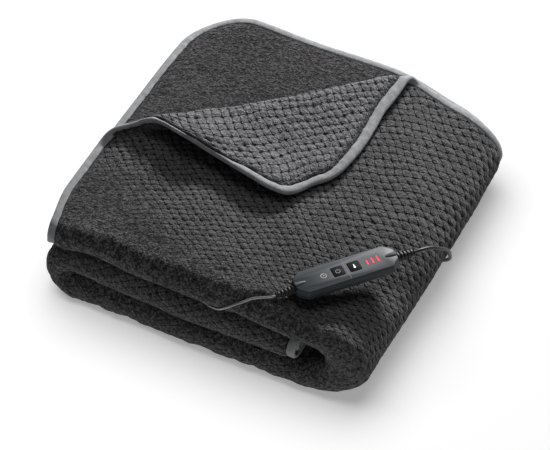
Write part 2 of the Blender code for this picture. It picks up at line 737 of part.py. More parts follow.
def plug_route(tail):
    """From the coil's upper row to the plug."""
    height = (COIL_ROWS - 0.5) * TURN_PITCH
    side = COIL_CENTRE[1] - coil_outer() - GAP - MAINS_LEAD / 2
    route = [(COIL_CENTRE[0] + x, side + y, height + z) for x, y, z in PLUG_ROUTE]
    bend_x, bend_y = PLUG_BEND
    route += [(COIL_CENTRE[0] + bend_x, side + bend_y, tail.z), tail + Vector(PLUG_APPROACH), tail]
    return route


def coil_outer():
    return COIL_MIDDLE + (COIL_COLUMNS - 1) / 2 * TURN_PITCH + TURN_PITCH / 2


def blanket_route(place):
    """From the handset over the front roll, into the groove below the top panel."""
    start = place @ Vector((-HANDSET_LENGTH / 2 - 2 * GAP - RELIEF_LENGTH, 0, LEAD_HEIGHT))
    ahead = place.to_3x3() @ Vector((-1, 0, 0))
    roll_z = HALF_PACK + 2 * PANEL_PITCH
    reach = HALF_PACK + BLANKET_LEAD / 2 + 2 * GAP
    route = [start, start + ahead * BLANKET_STRAIGHT]
    for x, angle in ROLL_ROUTE:
        turn = math.radians(angle)
        point = (x, HALF_PACK - reach * math.cos(turn), roll_z + reach * math.sin(turn))
        route.append(laid(point))
    groove_z = HALF_PACK + 1.5 * PANEL_PITCH
    for x, y in GROOVE_ROUTE:
        route.append(laid((x, y, groove_z)))
    return route


def make_sleeve(group):
    """The tapered sleeve by which the thin lead enters the cloth, down in the groove."""
    rubber = bpy.data.materials["black rubber"]
    profile = [(0.0, 0.0), (SLEEVE_TIP, 0.0), (SLEEVE_ROOT, SLEEVE_LENGTH), (0.0, SLEEVE_LENGTH)]
    sleeve = turned("entry_sleeve", profile, rubber, group, steps=10)
    x, y = GROOVE_ROUTE[-1]
    groove_z = HALF_PACK + 1.5 * PANEL_PITCH
    near = laid((x - GAP, y, groove_z))
    far = laid((x - GAP - SLEEVE_LENGTH, y, groove_z))
    turn = (far - near).to_track_quat("Z", "Y").to_matrix().to_4x4()
    sleeve.matrix_world = Matrix.Translation(near) @ turn


def make_coil(material, group):
    """The outer shape of the wound length, a turned ring."""
    outer = coil_outer()
    inner = 2 * COIL_MIDDLE - outer
    height = COIL_ROWS * TURN_PITCH
    ease = TURN_PITCH / 4
    profile = [(outer - ease, 0), (outer, ease), (outer, height - ease), (outer - ease, height),
               (inner + ease, height), (inner, height - ease), (inner, ease), (inner + ease, 0)]
    coil = turned("mains_coil", profile, material, group, steps=40)
    coil.location = (*COIL_CENTRE, GAP)


def make_plug(group):
    """A plain flat plug with two round pins, lying on its broad side."""
    plastic = make_material("black plug plastic", (0.014, 0.014, 0.016), 0.5)
    metal = make_material("plated pin", (0.70, 0.70, 0.68), 0.25, 1.0)
    x, y = TAIL_PLACE
    origin = Vector((COIL_CENTRE[0] - coil_outer() + x, COIL_CENTRE[1] + y, PLUG_HEIGHT / 2 + GAP))
    facing = Matrix.Translation(origin) @ Matrix.Rotation(PLUG_YAW, 4, "Z")
    body = rounded_plate(PLUG_LENGTH, PLUG_WIDTH, -PLUG_HEIGHT / 2, PLUG_HEIGHT / 2, PLUG_CORNER)
    bmesh.ops.translate(body, vec=(PLUG_TAIL + GAP + PLUG_LENGTH / 2, 0, 0), verts=body.verts)
    mesh_object("plug_body", body, plastic, group).matrix_world = facing
    tail_profile = ribbed_profile(PLUG_TAIL, TAIL_ROOT, MAINS_LEAD + 2 * TAIL_WALL, TAIL_RIBS)
    tail = turned("plug_tail", tail_profile, plastic, group)
    root = Matrix.Translation((PLUG_TAIL, 0, 0)) @ Matrix.Rotation(-math.pi / 2, 4, "Y")
    tail.matrix_world = facing @ root
    radius = PIN_DIAMETER / 2
    pin_profile = [(0.0, 0.0), (radius, 0.0), (radius, PIN_LENGTH - PIN_POINT),
                   (radius - PIN_POINT, PIN_LENGTH), (0.0, PIN_LENGTH)]
    front = PLUG_TAIL + PLUG_LENGTH + 2 * GAP
    for name, side in (("plug_pin_left", 1), ("plug_pin_right", -1)):
        pin = turned(name, pin_profile, metal, group, steps=12)
        seat = Matrix.Translation((front, side * PIN_SPACING / 2, 0)) @ Matrix.Rotation(math.pi / 2, 4, "Y")
        pin.matrix_world = facing @ seat
    return facing @ Vector((-GAP, 0, 0))


def make_leads(place, group):
    sheath = make_material("black lead sheath", (0.014, 0.014, 0.016), 0.4)
    make_lead("lead_mains", mains_route(place), MAINS_LEAD, sheath, group)
    make_coil(sheath, group)
    tail = make_plug(group)
    make_lead("lead_plug", plug_route(tail), MAINS_LEAD, sheath, group)
    make_lead("lead_blanket", blanket_route(place), BLANKET_LEAD, sheath, group)
    make_sleeve(group)


def centre_on_base(items):
    """Hang everything on an empty that brings the blanket's base to the origin."""
    bpy.context.view_layer.update()
    cloth, binding = (bpy.data.objects[name] for name in ("cloth", "binding"))
    points = [vertex.co for item in (cloth, binding) for vertex in item.data.vertices]
    middle = [(min(p[k] for p in points) + max(p[k] for p in points)) / 2 for k in (0, 1)]
    base = bpy.data.objects.new("blanket_base", None)
    bpy.context.scene.collection.objects.link(base)
    base.location = (-middle[0], -middle[1], 0)
    for item in items:
        item.parent = base


def main():
    clear_scene()
    group = make_collection("electric heated blanket")
    guides = make_collection("guides")
    cloth = make_cloth(group)
    make_binding(group)
    bpy.context.view_layer.update()
    place = place_handset(cloth)
    make_handset(place, group, guides)
    make_reliefs(place, group)
    make_leads(place, group)
    centre_on_base(list(group.objects) + list(guides.objects))


main()
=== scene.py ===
import json
import math

import bmesh
import bpy
import numpy as np
from mathutils import Matrix, Vector

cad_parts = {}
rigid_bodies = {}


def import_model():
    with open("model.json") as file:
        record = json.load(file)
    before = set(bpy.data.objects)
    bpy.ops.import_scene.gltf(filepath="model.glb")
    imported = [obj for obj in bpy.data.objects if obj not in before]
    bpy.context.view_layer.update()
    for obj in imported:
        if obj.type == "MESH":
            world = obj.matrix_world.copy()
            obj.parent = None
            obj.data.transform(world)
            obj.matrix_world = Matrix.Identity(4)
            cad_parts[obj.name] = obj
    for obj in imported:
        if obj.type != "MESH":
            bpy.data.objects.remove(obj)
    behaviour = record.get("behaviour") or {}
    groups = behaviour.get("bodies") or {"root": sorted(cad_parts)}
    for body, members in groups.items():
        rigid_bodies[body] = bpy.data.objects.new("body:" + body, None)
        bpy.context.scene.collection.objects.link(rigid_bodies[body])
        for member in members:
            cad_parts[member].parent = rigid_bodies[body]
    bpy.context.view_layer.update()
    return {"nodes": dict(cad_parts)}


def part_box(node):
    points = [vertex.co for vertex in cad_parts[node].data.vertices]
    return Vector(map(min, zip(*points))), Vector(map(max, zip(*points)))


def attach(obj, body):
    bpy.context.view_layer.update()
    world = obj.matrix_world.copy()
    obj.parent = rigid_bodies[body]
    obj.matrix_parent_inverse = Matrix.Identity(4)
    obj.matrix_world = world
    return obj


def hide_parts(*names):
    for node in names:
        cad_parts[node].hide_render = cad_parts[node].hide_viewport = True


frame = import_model()

# Metres, +Z up. X runs from the bound left edge to the big right-hand bend, Y from the
# front rolls to the bound back edge. The sheet's own coordinates are s across it and t
# along it, both from the turned-over corner, and w above the middle of its thickness.

# ---- the sheet
PLY = 0.0092
PLY_PITCH = 0.0107
PANEL_PITCH = 0.0434
FOLDED_WIDTH = 0.430
FOLDED_DEPTH = 0.443
BEND_REACH = 0.057
BEND_PUFF = 0.45
MIDDLE_END = 0.339
BACK_SETBACK = 0.010
BACK_BEND_SETBACK = 0.004
LEFT_BULGE = 0.004
FRONT_DRAW = 0.010
CORNER_RADIUS = 0.075
HALF_PACK = 1.5 * PLY_PITCH + PLY / 2
STACK_HEIGHT = 2 * HALF_PACK + 2 * PANEL_PITCH

# ---- the binding
EDGE_PLY = 0.0034
BINDING_LIP = 0.0092
GAP = 0.0003
TAPE_HALF = (  # insets and heights round the tape's upper half
    (BINDING_LIP, 0.0022), (BINDING_LIP - 0.0004, 0.0028), (0.0068, 0.0031), (0.0040, 0.0034),
    (0.0012, 0.0031), (-0.0007, 0.0020),
)
TAPE_FOLD = (-0.0013, 0.0)
TAPE_STEP = 0.0023
PUCKER_AT_SEAM = 0.0005  # how far the tape wavers in and out,
PUCKER = 0.00025
PUCKER_SWELL = 0.09  # and by what share it bulges
HEM_CLEAR = 0.0004
HEM_RISE = 0.0085  # the cloth is plump this far in from the tape,
HEM_FLAT = 0.008  # its waffle is full,
HEM_SHADE = 0.0026  # and the shade along the seam ends

# ---- the pile and its waffle
WAFFLE_RISE = 0.0010
PILLOW_FULLNESS = 2.4
LUMP_RISE = 0.00045
SWELL_RISE = 0.0006
COARSE_RISE = 0.0011
TOP_PLUSH = 0.85
PILE_PRESS = 0.0016  # the handset presses the pile in by this much,
LEAD_PRESS = 0.0026  # and the leads by this much,
PRESS_WIDTH = 0.0085  # over this width on each side
NAP_RISE = 0.0042  # the nap stands up under the thin lead's relief
RISE_REACH = 0.022

# ---- the turned-over corner
TURN_LEFT = 0.284
TURN_BACK = 0.312
ROLL_LEFT = 0.0120
ROLL_RIGHT = 0.0066
ROLL_SWELL = 0.0045
SWELL_FADE = 0.28
GATHER = 0.57
GATHER_RISE = 0.14
GATHER_END = 0.17
GATHER_FADE = 0.13
EASE = 0.10
EASE_START = 0.38
EASE_END = 0.80
EASE_FADE = 0.12
FLAP_BOW = 0.012
FLAP_SHIFT = 0.028
SHIFT_LENGTH = 0.1105
FLAP_SETTLE = 0.085
FLAP_REST = PLY_PITCH + 0.0006
FLAP_CURL = 0.50
FLAP_CURL_START = 0.06
FLAP_CURL_FADE = 0.36
FLAP_LIFT = 0.012
LIFT_SPREAD = 0.006
LIFT_RISE = 0.06
LIFT_END = 0.28
LIFT_FADE = 0.19
LIFT_REACH = 0.050
TURN_FADE = 0.080
TUCK_RADIUS = 0.060
TUCK_FADE = 0.140
TUCK_LIMIT = 0.45

# ---- the slackness of the stack
RIGHT_SLUMP = 0.10
RIGHT_BACK_SLUMP = 0.06
RIGHT_SLUMP_START = 0.262
RIGHT_SLUMP_REACH = 0.100
LEFT_SLUMP = 0.055
LEFT_SLUMP_REACH = 0.075
SPREAD = 0.005
RIGHT_PULL = 0.016
RIGHT_PULL_START = 0.300
RIGHT_PULL_REACH = 0.130
PUSH = 0.003
PUSH_PERIOD = 0.37
DRAW_DEPTH = 0.075
DRAW_WIDTH = 0.110
WAVES = (  # height, periods in X and Y, and phase
    (0.0016, 0.310, 0.270, 0.4),
    (0.0012, 0.170, 0.230, 2.1),
    (0.0008, 0.105, 0.140, 4.0),
)

# ---- the handset
HANDSET_LENGTH = 0.1330
HANDSET_WIDTH = 0.0375
HANDSET_HEIGHT = 0.0150
HANDSET_CENTRE = (0.3635, 0.0920)
HANDSET_YAW = math.radians(50.5)
HANDSET_PITCH = math.radians(1.6)
HANDSET_END = 0.0105
HANDSET_END_WIDTH = 0.0170
HANDSET_EDGE = 0.0016
HANDSET_SINK = 0.0060
PRESS_REACH = 0.62
LEAD_HEIGHT = 0.45 * HANDSET_HEIGHT
NOSE_LENGTH = 0.0150
NOSE_RADIUS = 0.0048
NOSE_STEPS = 12
PRINT = 0.00008  # half the thickness of a printed mark
KEY_SIDE = 0.0146
KEY_HEIGHT = 0.0026
KEY_PROUD = 0.0002
KEY_TRAVEL = 0.0007
KEY_PLACES = {"key_power": -0.0100, "key_heat": 0.0112}
LAMP_WIDTH = 0.0024
LAMP_DEPTH = 0.0008
LAMPS = {"lamp_low": (0.0280, 0.0075), "lamp_middle": (0.0350, 0.0088), "lamp_high": (0.0420, 0.0100)}
RELIEF_ROOT = 0.0126
RELIEF_WALL = 0.0020
RELIEF_LENGTH = 0.0225
RELIEF_RIBS = 5
RIB = (  # shares of a rib's length, and depths below the taper
    (0.06, 0.0003), (0.15, 0.0), (0.45, 0.0), (0.54, 0.0003), (0.60, 0.0019), (0.96, 0.0019),
)

# ---- the leads
MAINS_LEAD = 0.0044
BLANKET_LEAD = 0.0030
MAINS_STRAIGHT = 0.010
BLANKET_STRAIGHT = 0.006
COIL_MIDDLE = 0.0262
COIL_COLUMNS = 4
COIL_ROWS = 2
TURN_PITCH = 0.0047
COIL_CENTRE = (0.2350, 0.4915)
COIL_OUTER = COIL_MIDDLE + (COIL_COLUMNS - 1) / 2 * TURN_PITCH + TURN_PITCH / 2
COIL_SIDE = COIL_CENTRE[1] - COIL_OUTER - GAP - MAINS_LEAD / 2
PLUG_LENGTH = 0.0330
PLUG_WIDTH = 0.0260
PLUG_HEIGHT = 0.0136
PLUG_CORNER = 0.008
PLUG_TAIL = 0.0220
TAIL_ROOT = 0.0100
TAIL_WALL = 0.0009
TAIL_RIBS = 4
TAIL_PLACE = (-0.026, -0.027)
PLUG_YAW = math.radians(176)
# the thin lead: X and the angle round the front roll, then X and Y in the groove
ROLL_ROUTE = ((0.2850, 62), (0.2740, 38), (0.2630, 16), (0.2530, -6), (0.2430, -28), (0.2310, -50))
GROOVE_ROUTE = ((0.2190, 0.0124), (0.2070, 0.0135), (0.1950, 0.0136))
MAINS_ROUTE = (  # from the handset down to the floor
    (0.4340, 0.1815, 0.1180), (0.4400, 0.1920, 0.1095), (0.4435, 0.2050, 0.0965), (0.4440, 0.2165, 0.0810),
    (0.4415, 0.2260, 0.0650), (0.4385, 0.2350, 0.0490), (0.4315, 0.2440, 0.0330), (0.4210, 0.2530, 0.0185),
    (0.4090, 0.2650, 0.0085), (0.3995, 0.2810, 0.0038),
)
FLOOR_ROUTE = (  # X and Y along the floor, round to the coil
    (0.3935, 0.3020), (0.3920, 0.3300), (0.3920, 0.3700), (0.3915, 0.4050), (0.3870, 0.4300),
    (0.3730, 0.4480), (0.3500, 0.4560), (0.3200, 0.4575),
)
LAST_FLOOR_X = 0.2800

# ---- the camera
CAMERA_AZIMUTH = math.radians(26.594)
CAMERA_ELEVATION = math.radians(47.409)
CAMERA_PLACE = np.array([1.225389, -1.813886, 2.484329])  # from the folded corner
LENS = 175.45
SENSOR = 36.0

# ---- light and floor
SURROUND = 0.07
SOFTBOXES = (  # what each lights, its place, aim, size and power
    ("pieces", "softbox_top", (0.15, 1.15, 2.5), (0, 0, 0.05), 1.4, 30),
    ("pieces", "softbox_low", (-0.22, 2.36, 1.30), (0, 0, 0.10), 0.4, 195),
    ("pieces", "softbox_back", (0.9, 1.9, 1.6), (0, 0, 0.10), 0.9, 5),
    ("pieces", "softbox_front", (0.7, -1.5, 0.35), (0, 0, 0.05), 0.8, 5.5),
    ("ground", "softbox_floor", (-0.45, 0.24, 2.5), (0, 0, 0), 2.9, 66),
)
FLOOR_SIZE = 6.0
FLOOR_HEIGHT = -0.0004


def frame_origin():
    """The frame's origin, counted from the folded corner like the places above."""
    low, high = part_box("mains_coil")
    return np.array([COIL_CENTRE[0] - (low.x + high.x) / 2, COIL_CENTRE[1] - (low.y + high.y) / 2, 0.0])


BASE = frame_origin()


# ---- working the shaders

class Wire:
    """A shader socket worked with as a number."""

    def __init__(self, finish, socket):
        self.finish = finish
        self.socket = socket

    def made_by(operation, swapped=False):
        """A method that makes one Math node of its values."""
        def method(self, *others):
            values = (*others, self) if swapped else (self, *others)
            return self.finish.node("Math", {"operation": operation}, dict(enumerate(values)))
        return method

    __add__ = __radd__ = made_by("ADD")
    __sub__ = made_by("SUBTRACT")
    __rsub__ = made_by("SUBTRACT", swapped=True)
    __mul__ = __rmul__ = made_by("MULTIPLY")
    __pow__ = made_by("POWER")
    __abs__ = made_by("ABSOLUTE")
    nearest = made_by("ROUND")
    sine = made_by("SINE")
    least = made_by("MINIMUM")
    most = made_by("MAXIMUM")

    def rise(self, low, high):
        """0 below low, 1 above high, and a smooth step between."""
        return self.finish.node("MapRange", {"interpolation_type": "SMOOTHSTEP"},
                                {"Value": self, "From Min": low, "From Max": high})


class Finish:
    """A material being mixed: its nodes, and the shader that they feed."""

    def __init__(self, name, **fixed):
        self.material = bpy.data.materials.new(name)
        self.material.use_nodes = True
        self.tree = self.material.node_tree
        self.shader = self.tree.nodes["Principled BSDF"]
        self.done(**fixed)

    def put(self, node, socket, value):
        """Link a wire to a socket, or set a plain value or colour on it."""
        entry = node.inputs[socket]
        if isinstance(value, Wire):
            self.tree.links.new(value.socket, entry)
        else:
            entry.default_value = (*value, 1.0) if entry.type == "RGBA" else value

    def node(self, kind, settings=None, inputs=None, output=0):
        """A node of any kind, its settings made first and its inputs after."""
        made = self.tree.nodes.new("ShaderNode" + kind)
        for name, value in (settings or {}).items():
            setattr(made, name, value)
        for socket, value in (inputs or {}).items():
            self.put(made, socket, value)
        return Wire(self, made.outputs[output])

    def noise(self, scale, detail=3.0, roughness=0.55, stretch=None):
        """Cloudy noise in space, with so many grains a metre."""
        place = self.node("TexCoord", output="Object")
        if stretch:
            place = self.node("VectorMath", {"operation": "MULTIPLY"}, {0: place, 1: stretch})
        return self.node("TexNoise", {}, {"Vector": place, "Scale": scale, "Detail": detail,
                                          "Roughness": roughness})

    def worn_in(self, name):
        """A number that the mesh carries at its points."""
        return self.node("Attribute", {"attribute_name": name}, output="Fac")

    def counts(self, name):
        """The two numbers of one of the mesh's own maps."""
        split = self.node("SeparateXYZ", {}, {0: self.node("UVMap", {"uv_map": name})})
        return split, Wire(self, split.socket.node.outputs[1])

    def blend(self, share, first, second, way="MIX"):
        """Two colours, mixed by a share."""
        return self.node("Mix", {"data_type": "RGBA", "blend_type": way},
                         {0: share, 6: first, 7: second}, 2)

    def shade(self, colour, amount):
        """A colour made lighter or darker by a number."""
        grey = self.node("CombineColor", {}, {0: amount, 1: amount, 2: amount})
        return self.blend(1.0, colour, grey, "MULTIPLY")

    def raised(self, height, depth):
        """The normal of a surface whose relief is height times depth, in metres."""
        return self.node("Bump", {}, {"Height": height, "Distance": depth, "Strength": 1.0})

    def done(self, **wires):
        """Feed the shader, and give the material back."""
        for socket, value in wires.items():
            self.put(self.shader, socket.replace("_", " "), value)
        return self.material


# ---- the finishes

def fleece_finish():
    """Charcoal fleece: waffle with pits at its crossings, plush where the waffle fades, and painted shade
    that darkens its colour in the pits, along the creases and beside the tape's seam.
    """
    fleece = Finish("charcoal fleece", Roughness=0.95, Sheen_Weight=0.10, Sheen_Roughness=0.5,
                    Specular_IOR_Level=0.06)
    first, second = fleece.counts("waffle")
    depth = fleece.worn_in("waffle_depth")
    light = fleece.worn_in("light_nap")
    plush = fleece.worn_in("plush")
    tufts = fleece.noise(170, 2.0, 0.5)
    fibres = fleece.noise(330, 2.0, 0.5)
    hairs = fleece.noise(760, 2.0, 0.6)
    cloud = fleece.noise(34, 3.0)
    first = first + (fleece.noise(130, 2.0) - 0.5) * 0.40
    second = second + (fibres - 0.5) * 0.20
    off_first, off_second = abs(first - first.nearest()), abs(second - second.nearest())
    away = (off_first * off_first + off_second * off_second) ** 0.5 + (fibres - 0.5) * 0.30
    woven = (depth - 0.15).most(0.0) * 1.18
    pit = (1 - away.rise(0.12, 0.21)) * woven
    crease = (1 - off_first.least(off_second).rise(0.02, 0.10)) * woven
    pile = fibres.rise(0.40, 0.60)
    bright = hairs.rise(0.57, 0.68)
    dark = tufts.rise(0.52, 0.38)
    worked = fleece.blend(light, (0.058, 0.058, 0.060), (0.104, 0.103, 0.108))
    smooth_nap = fleece.blend(plush, (0.050, 0.050, 0.052), (0.0300, 0.0285, 0.0300))
    base = fleece.blend(woven, smooth_nap, worked)
    plain = (0.22 + pile * 0.95 + bright * 1.9) * (0.70 + cloud * 0.60) * (1 - dark * 0.60)
    ridged = (0.66 + pile * 0.46 + bright * 1.1) * (0.80 + cloud * 0.40) * (1 - dark * 0.32)
    amount = plain * (1 - woven) + ridged * woven
    # painted shade in the colour: nearly black in the pits, darker along the creases, and dark in a band
    # beside the tape's seam
    amount = amount * (1 - pit * 0.98) * (1 - crease * 0.46) * (1 - fleece.worn_in("seam_painted_shade") * 0.95)
    height = tufts * 0.9 + fibres * 0.8 + hairs * 0.35 - pit * 2.2 - crease * 0.60
    return fleece.done(Base_Color=fleece.shade(base, amount), Normal=fleece.raised(height, 0.0030))


def tape_finish():
    """Light grey brushed tape with a fine rib."""
    tape = Finish("grey tape", Roughness=0.8, Sheen_Weight=0.10, Sheen_Roughness=0.5,
                  Specular_IOR_Level=0.15)
    along, _ = tape.counts("flat")
    rib = (along * 5200.0).sine()
    cloud = tape.noise(120, 4.0, 0.65)
    fine = tape.noise(1500, 2.0)
    colour = tape.blend(cloud.rise(0.3, 0.7), (0.140, 0.143, 0.149), (0.205, 0.208, 0.214))
    height = rib * 0.12 + fine * 0.5 + cloud * 0.6
    return tape.done(Base_Color=tape.shade(colour, 0.86 + fine * 0.28), Normal=tape.raised(height, 0.0006))


def moulded_finish(name, colour, roughness, grain=2600.0, depth=0.00006, gloss=0.30):
    """Moulded plastic or rubber with a fine spark-eroded grain and a few rubbed places."""
    moulded = Finish(name, Specular_IOR_Level=gloss)
    cloud = moulded.noise(60, 4.0, 0.6)
    sparks = moulded.noise(grain, 2.0, 0.6)
    return moulded.done(Base_Color=moulded.shade(colour, 0.9 + cloud * 0.2),
                        Roughness=roughness - 0.06 + cloud * 0.14,
                        Normal=moulded.raised(sparks, depth))


def lamp_finish():
    """Red lens, lit from below, brighter in patches."""
    lens = Finish("lit red lens", Roughness=0.25, Specular_IOR_Level=0.5, Emission_Strength=0.07)
    glow = lens.noise(500, 2.0)
    colour = lens.blend(glow.rise(0.35, 0.7), (0.55, 0.010, 0.035), (0.80, 0.030, 0.075))
    return lens.done(Base_Color=colour, Emission_Color=colour)


def print_finish(name, colour):
    """Printed mark, slightly uneven."""
    ink = Finish(name, Roughness=0.55)
    return ink.done(Base_Color=ink.shade(colour, 0.85 + ink.noise(1500, 2.0) * 0.3))


def pin_finish():
    """Plated metal, lightly drawn along its length."""
    pin = Finish("plated pin", Metallic=1.0, Roughness=0.25)
    drawn = pin.noise(900, 3.0, 0.6, stretch=(0.1, 1.0, 1.0))
    return pin.done(Base_Color=pin.shade((0.70, 0.70, 0.68), 0.85 + drawn * 0.25),
                    Roughness=0.18 + drawn * 0.2)


def floor_finish():
    """Pale floor that glows a little, as a lit studio ground does."""
    return Finish("pale floor", Roughness=0.9, Specular_IOR_Level=0.1, Base_Color=(0.90, 0.90, 0.90),
                  Emission_Color=(1.0, 1.0, 1.0), Emission_Strength=0.31).material


# ---- from flat sheet to fold

def smooth(value):
    """0 up to 0, 1 from 1 on, and a smooth step between."""
    value = np.clip(value, 0.0, 1.0)
    return value * value * (3 - 2 * value)


def between(value, start, rise, end, fade):
    """Smoothly up from 0 at the start, and down again from the end."""
    return smooth((value - start) / rise) * (1 - smooth((value - end) / fade))


def lengths_along(points):
    """The length along a line from its first point to each."""
    return np.concatenate([[0.0], np.cumsum(np.linalg.norm(np.diff(points, axis=0), axis=1))])


class Course:
    """A flat line of straight runs and bends, read by the length along it.

    A run is its length. A bend turns back round half an ellipse, and is its height, its
    reach, and 1 to the left or -1 to the right.
    """

    STEPS = 48

    def __init__(self, start, heading, side, *parts):
        self.side = side
        points, headings, ends = [np.array(start, float)], [np.array(heading, float)], []
        for part in parts:
            first, start, ahead = len(points) - 1, points[-1], headings[-1]
            if not isinstance(part, tuple):
                points.append(start + ahead * part)
                headings.append(ahead)
                continue
            height, reach, turn = part
            across = turn * np.array([-ahead[1], ahead[0]])
            for step in range(1, self.STEPS + 1):
                cos, sin = math.cos(math.pi * step / self.STEPS), math.sin(math.pi * step / self.STEPS)
                tangent = ahead * reach * cos + across * height / 2 * sin
                headings.append(tangent / np.linalg.norm(tangent))
                points.append(start + ahead * reach * sin + across * height / 2 * (1 - cos))
            ends.append((first, len(points) - 1))
        self.points, self.headings = np.array(points), np.array(headings)
        self.lengths = lengths_along(self.points)
        self.bends = [(self.lengths[first], self.lengths[last]) for first, last in ends]

    def read(self, length):
        """Points and normals at lengths; both ends run on straight."""
        inside = np.clip(length, 0.0, self.lengths[-1])
        point, ahead = (np.stack([np.interp(inside, self.lengths, column) for column in rows.T], -1)
                        for rows in (self.points, self.headings))
        ahead /= np.linalg.norm(ahead, axis=-1, keepdims=True)
        normal = self.side * np.stack([-ahead[..., 1], ahead[..., 0]], -1)
        return point + ahead * (length - inside)[..., None], normal


def lengthwise_course():
    """Four plies in one panel: Y against the height from the panel's middle."""
    top_ply, front = 1.5 * PLY_PITCH, FOLDED_DEPTH - HALF_PACK
    back = front - PLY_PITCH / 2 - PLY / 2 - BACK_BEND_SETBACK
    return Course((FOLDED_DEPTH - BACK_SETBACK, top_ply), (-1, 0), -1,
                  front - BACK_SETBACK, (2 * top_ply, top_ply, 1),
                  back, (PLY_PITCH, PLY_PITCH / 2, 1),
                  back, (PLY_PITCH, PLY_PITCH / 2, -1), front)


def widthwise_course():
    """Three panels: X against the height of the panel's middle."""
    left = PANEL_PITCH / 2 + HALF_PACK - LEFT_BULGE
    return Course((0.0, HALF_PACK + 2 * PANEL_PITCH), (1, 0), 1,
                  BEND_START, (2 * PANEL_PITCH, BEND_REACH, -1),
                  BEND_START - left, (PANEL_PITCH, PANEL_PITCH / 2, -1), MIDDLE_END - left)


BEND_START = FOLDED_WIDTH - BEND_REACH - 1.5 * PLY_PITCH * (1 + BEND_PUFF) - PLY / 2
LENGTHWISE = lengthwise_course()
WIDTHWISE = widthwise_course()
SHEET_LENGTH, SHEET_WIDTH = float(LENGTHWISE.lengths[-1]), float(WIDTHWISE.lengths[-1])

TURN_LINE = math.hypot(TURN_BACK, TURN_LEFT)
TURN_REACH = TURN_BACK * TURN_LEFT / TURN_LINE
TOP_PLY_Z = HALF_PACK + 2 * PANEL_PITCH + 1.5 * PLY_PITCH
TURN_START = np.array([0.0, FOLDED_DEPTH - BACK_SETBACK - TURN_LEFT])
TURN_ALONG = np.array([TURN_BACK, TURN_LEFT]) / TURN_LINE
TURN_OUT = np.array([-TURN_LEFT, TURN_BACK]) / TURN_LINE


def turn_place(s, t):
    """Distance past the turned corner's fold line, and the share along it."""
    past = TURN_REACH * (1 - s / TURN_BACK - t / TURN_LEFT)
    along = (s * TURN_BACK - (t - TURN_LEFT) * TURN_LEFT) / TURN_LINE
    return past, along / TURN_LINE


def fold_bow(share):
    return FLAP_BOW * np.sin(math.pi * np.clip(share, 0.0, 1.0))


def turned_corner(past, share, w):
    """The corner's place once it is rolled up and laid back over the top ply."""
    radius = ROLL_LEFT + (ROLL_RIGHT - ROLL_LEFT) * np.clip(share, -0.1, 1.1)
    radius = radius + ROLL_SWELL * (1 - smooth(share / SWELL_FADE))
    past = past * (1 - GATHER * between(share, 0, GATHER_RISE, GATHER_END, GATHER_FADE))
    past = past * (1 - EASE * between(share, EASE_START, EASE_FADE, EASE_END, EASE_FADE))
    foot = TURN_START + np.multiply.outer(share * TURN_LINE, TURN_ALONG)
    foot = foot - np.multiply.outer(fold_bow(share), TURN_OUT)
    angle = np.clip(past / radius, 0.0, math.pi)
    back = np.maximum(past - math.pi * radius, 0.0)
    drawn = back * (1 - FLAP_CURL * (1 - smooth((share - FLAP_CURL_START) / FLAP_CURL_FADE)))
    lift = between(share, 0, LIFT_RISE, LIFT_END, LIFT_FADE) * smooth(back / LIFT_REACH)
    slip = FLAP_SHIFT * smooth(back / SHIFT_LENGTH) - LIFT_SPREAD * lift
    drop = (2 * radius - FLAP_REST) * smooth(back / FLAP_SETTLE) - FLAP_LIFT * lift
    out = (radius - w) * np.sin(angle) - drawn - LIFT_SPREAD * lift
    flat = foot + np.multiply.outer(out, TURN_OUT) + np.multiply.outer(slip, TURN_ALONG)
    height = TOP_PLY_Z + radius - (radius - w) * np.cos(angle) - drop
    return np.concatenate([flat, height[..., None]], -1)


def pressed_by_handset(x, y):
    """How far the handset sinks into the pile, from 0 to 1."""
    away_x, away_y = x - HANDSET_CENTRE[0], y - HANDSET_CENTRE[1]
    along = (math.cos(HANDSET_YAW), math.sin(HANDSET_YAW))
    ahead = (away_x * along[0] + away_y * along[1]) / (PRESS_REACH * HANDSET_LENGTH)
    aside = (away_y * along[0] - away_x * along[1]) / HANDSET_WIDTH
    return np.exp(-(ahead ** 4) - aside ** 2)


def laid(points):
    """The soft unevenness of the stack. The base stays flat."""
    x, y, z = np.moveaxis(np.asarray(points, float), -1, 0)
    share = z / STACK_HEIGHT
    lift = -HANDSET_SINK * pressed_by_handset(x, y)
    for size, period_x, period_y, phase in WAVES:
        wave = np.sin(2 * math.pi * x / period_x + phase)
        lift = lift + size * wave * np.cos(2 * math.pi * y / period_y + 1.7 * phase)
    to_back = y / FOLDED_DEPTH
    slump = (RIGHT_SLUMP + RIGHT_BACK_SLUMP * to_back) * smooth((x - RIGHT_SLUMP_START) / RIGHT_SLUMP_REACH)
    slump = slump + LEFT_SLUMP * (1 - smooth(x / LEFT_SLUMP_REACH))
    z = z + share * lift - z * slump * smooth(share * 1.6)
    spread = SPREAD * np.sin(math.pi * to_back) * (2 * x / FOLDED_WIDTH - 1)
    pull = RIGHT_PULL * smooth((x - RIGHT_PULL_START) / RIGHT_PULL_REACH) * smooth(to_back)
    push = PUSH * np.sin(2 * math.pi * x / PUSH_PERIOD + 1.1) * np.sin(math.pi * share)
    top_only = smooth(4 * share - 2.4)
    draw = FRONT_DRAW * (1 - smooth(y / DRAW_DEPTH)) * (1 - smooth(x / DRAW_WIDTH)) * top_only
    return np.stack([x + draw + spread * smooth(share + 0.3), y + push - pull, z], -1)


def tucked_corner(s, y):
    """The inner plies' back left corner is drawn in under the rounded ones."""
    behind = np.maximum(y - (FOLDED_DEPTH - TUCK_RADIUS), 0.0)
    least = (TUCK_LIMIT * TUCK_RADIUS) ** 2
    pull = TUCK_RADIUS - np.sqrt(np.maximum(TUCK_RADIUS ** 2 - behind ** 2, least))
    return pull * np.clip(1 - s / TUCK_FADE, 0.0, 1.0)


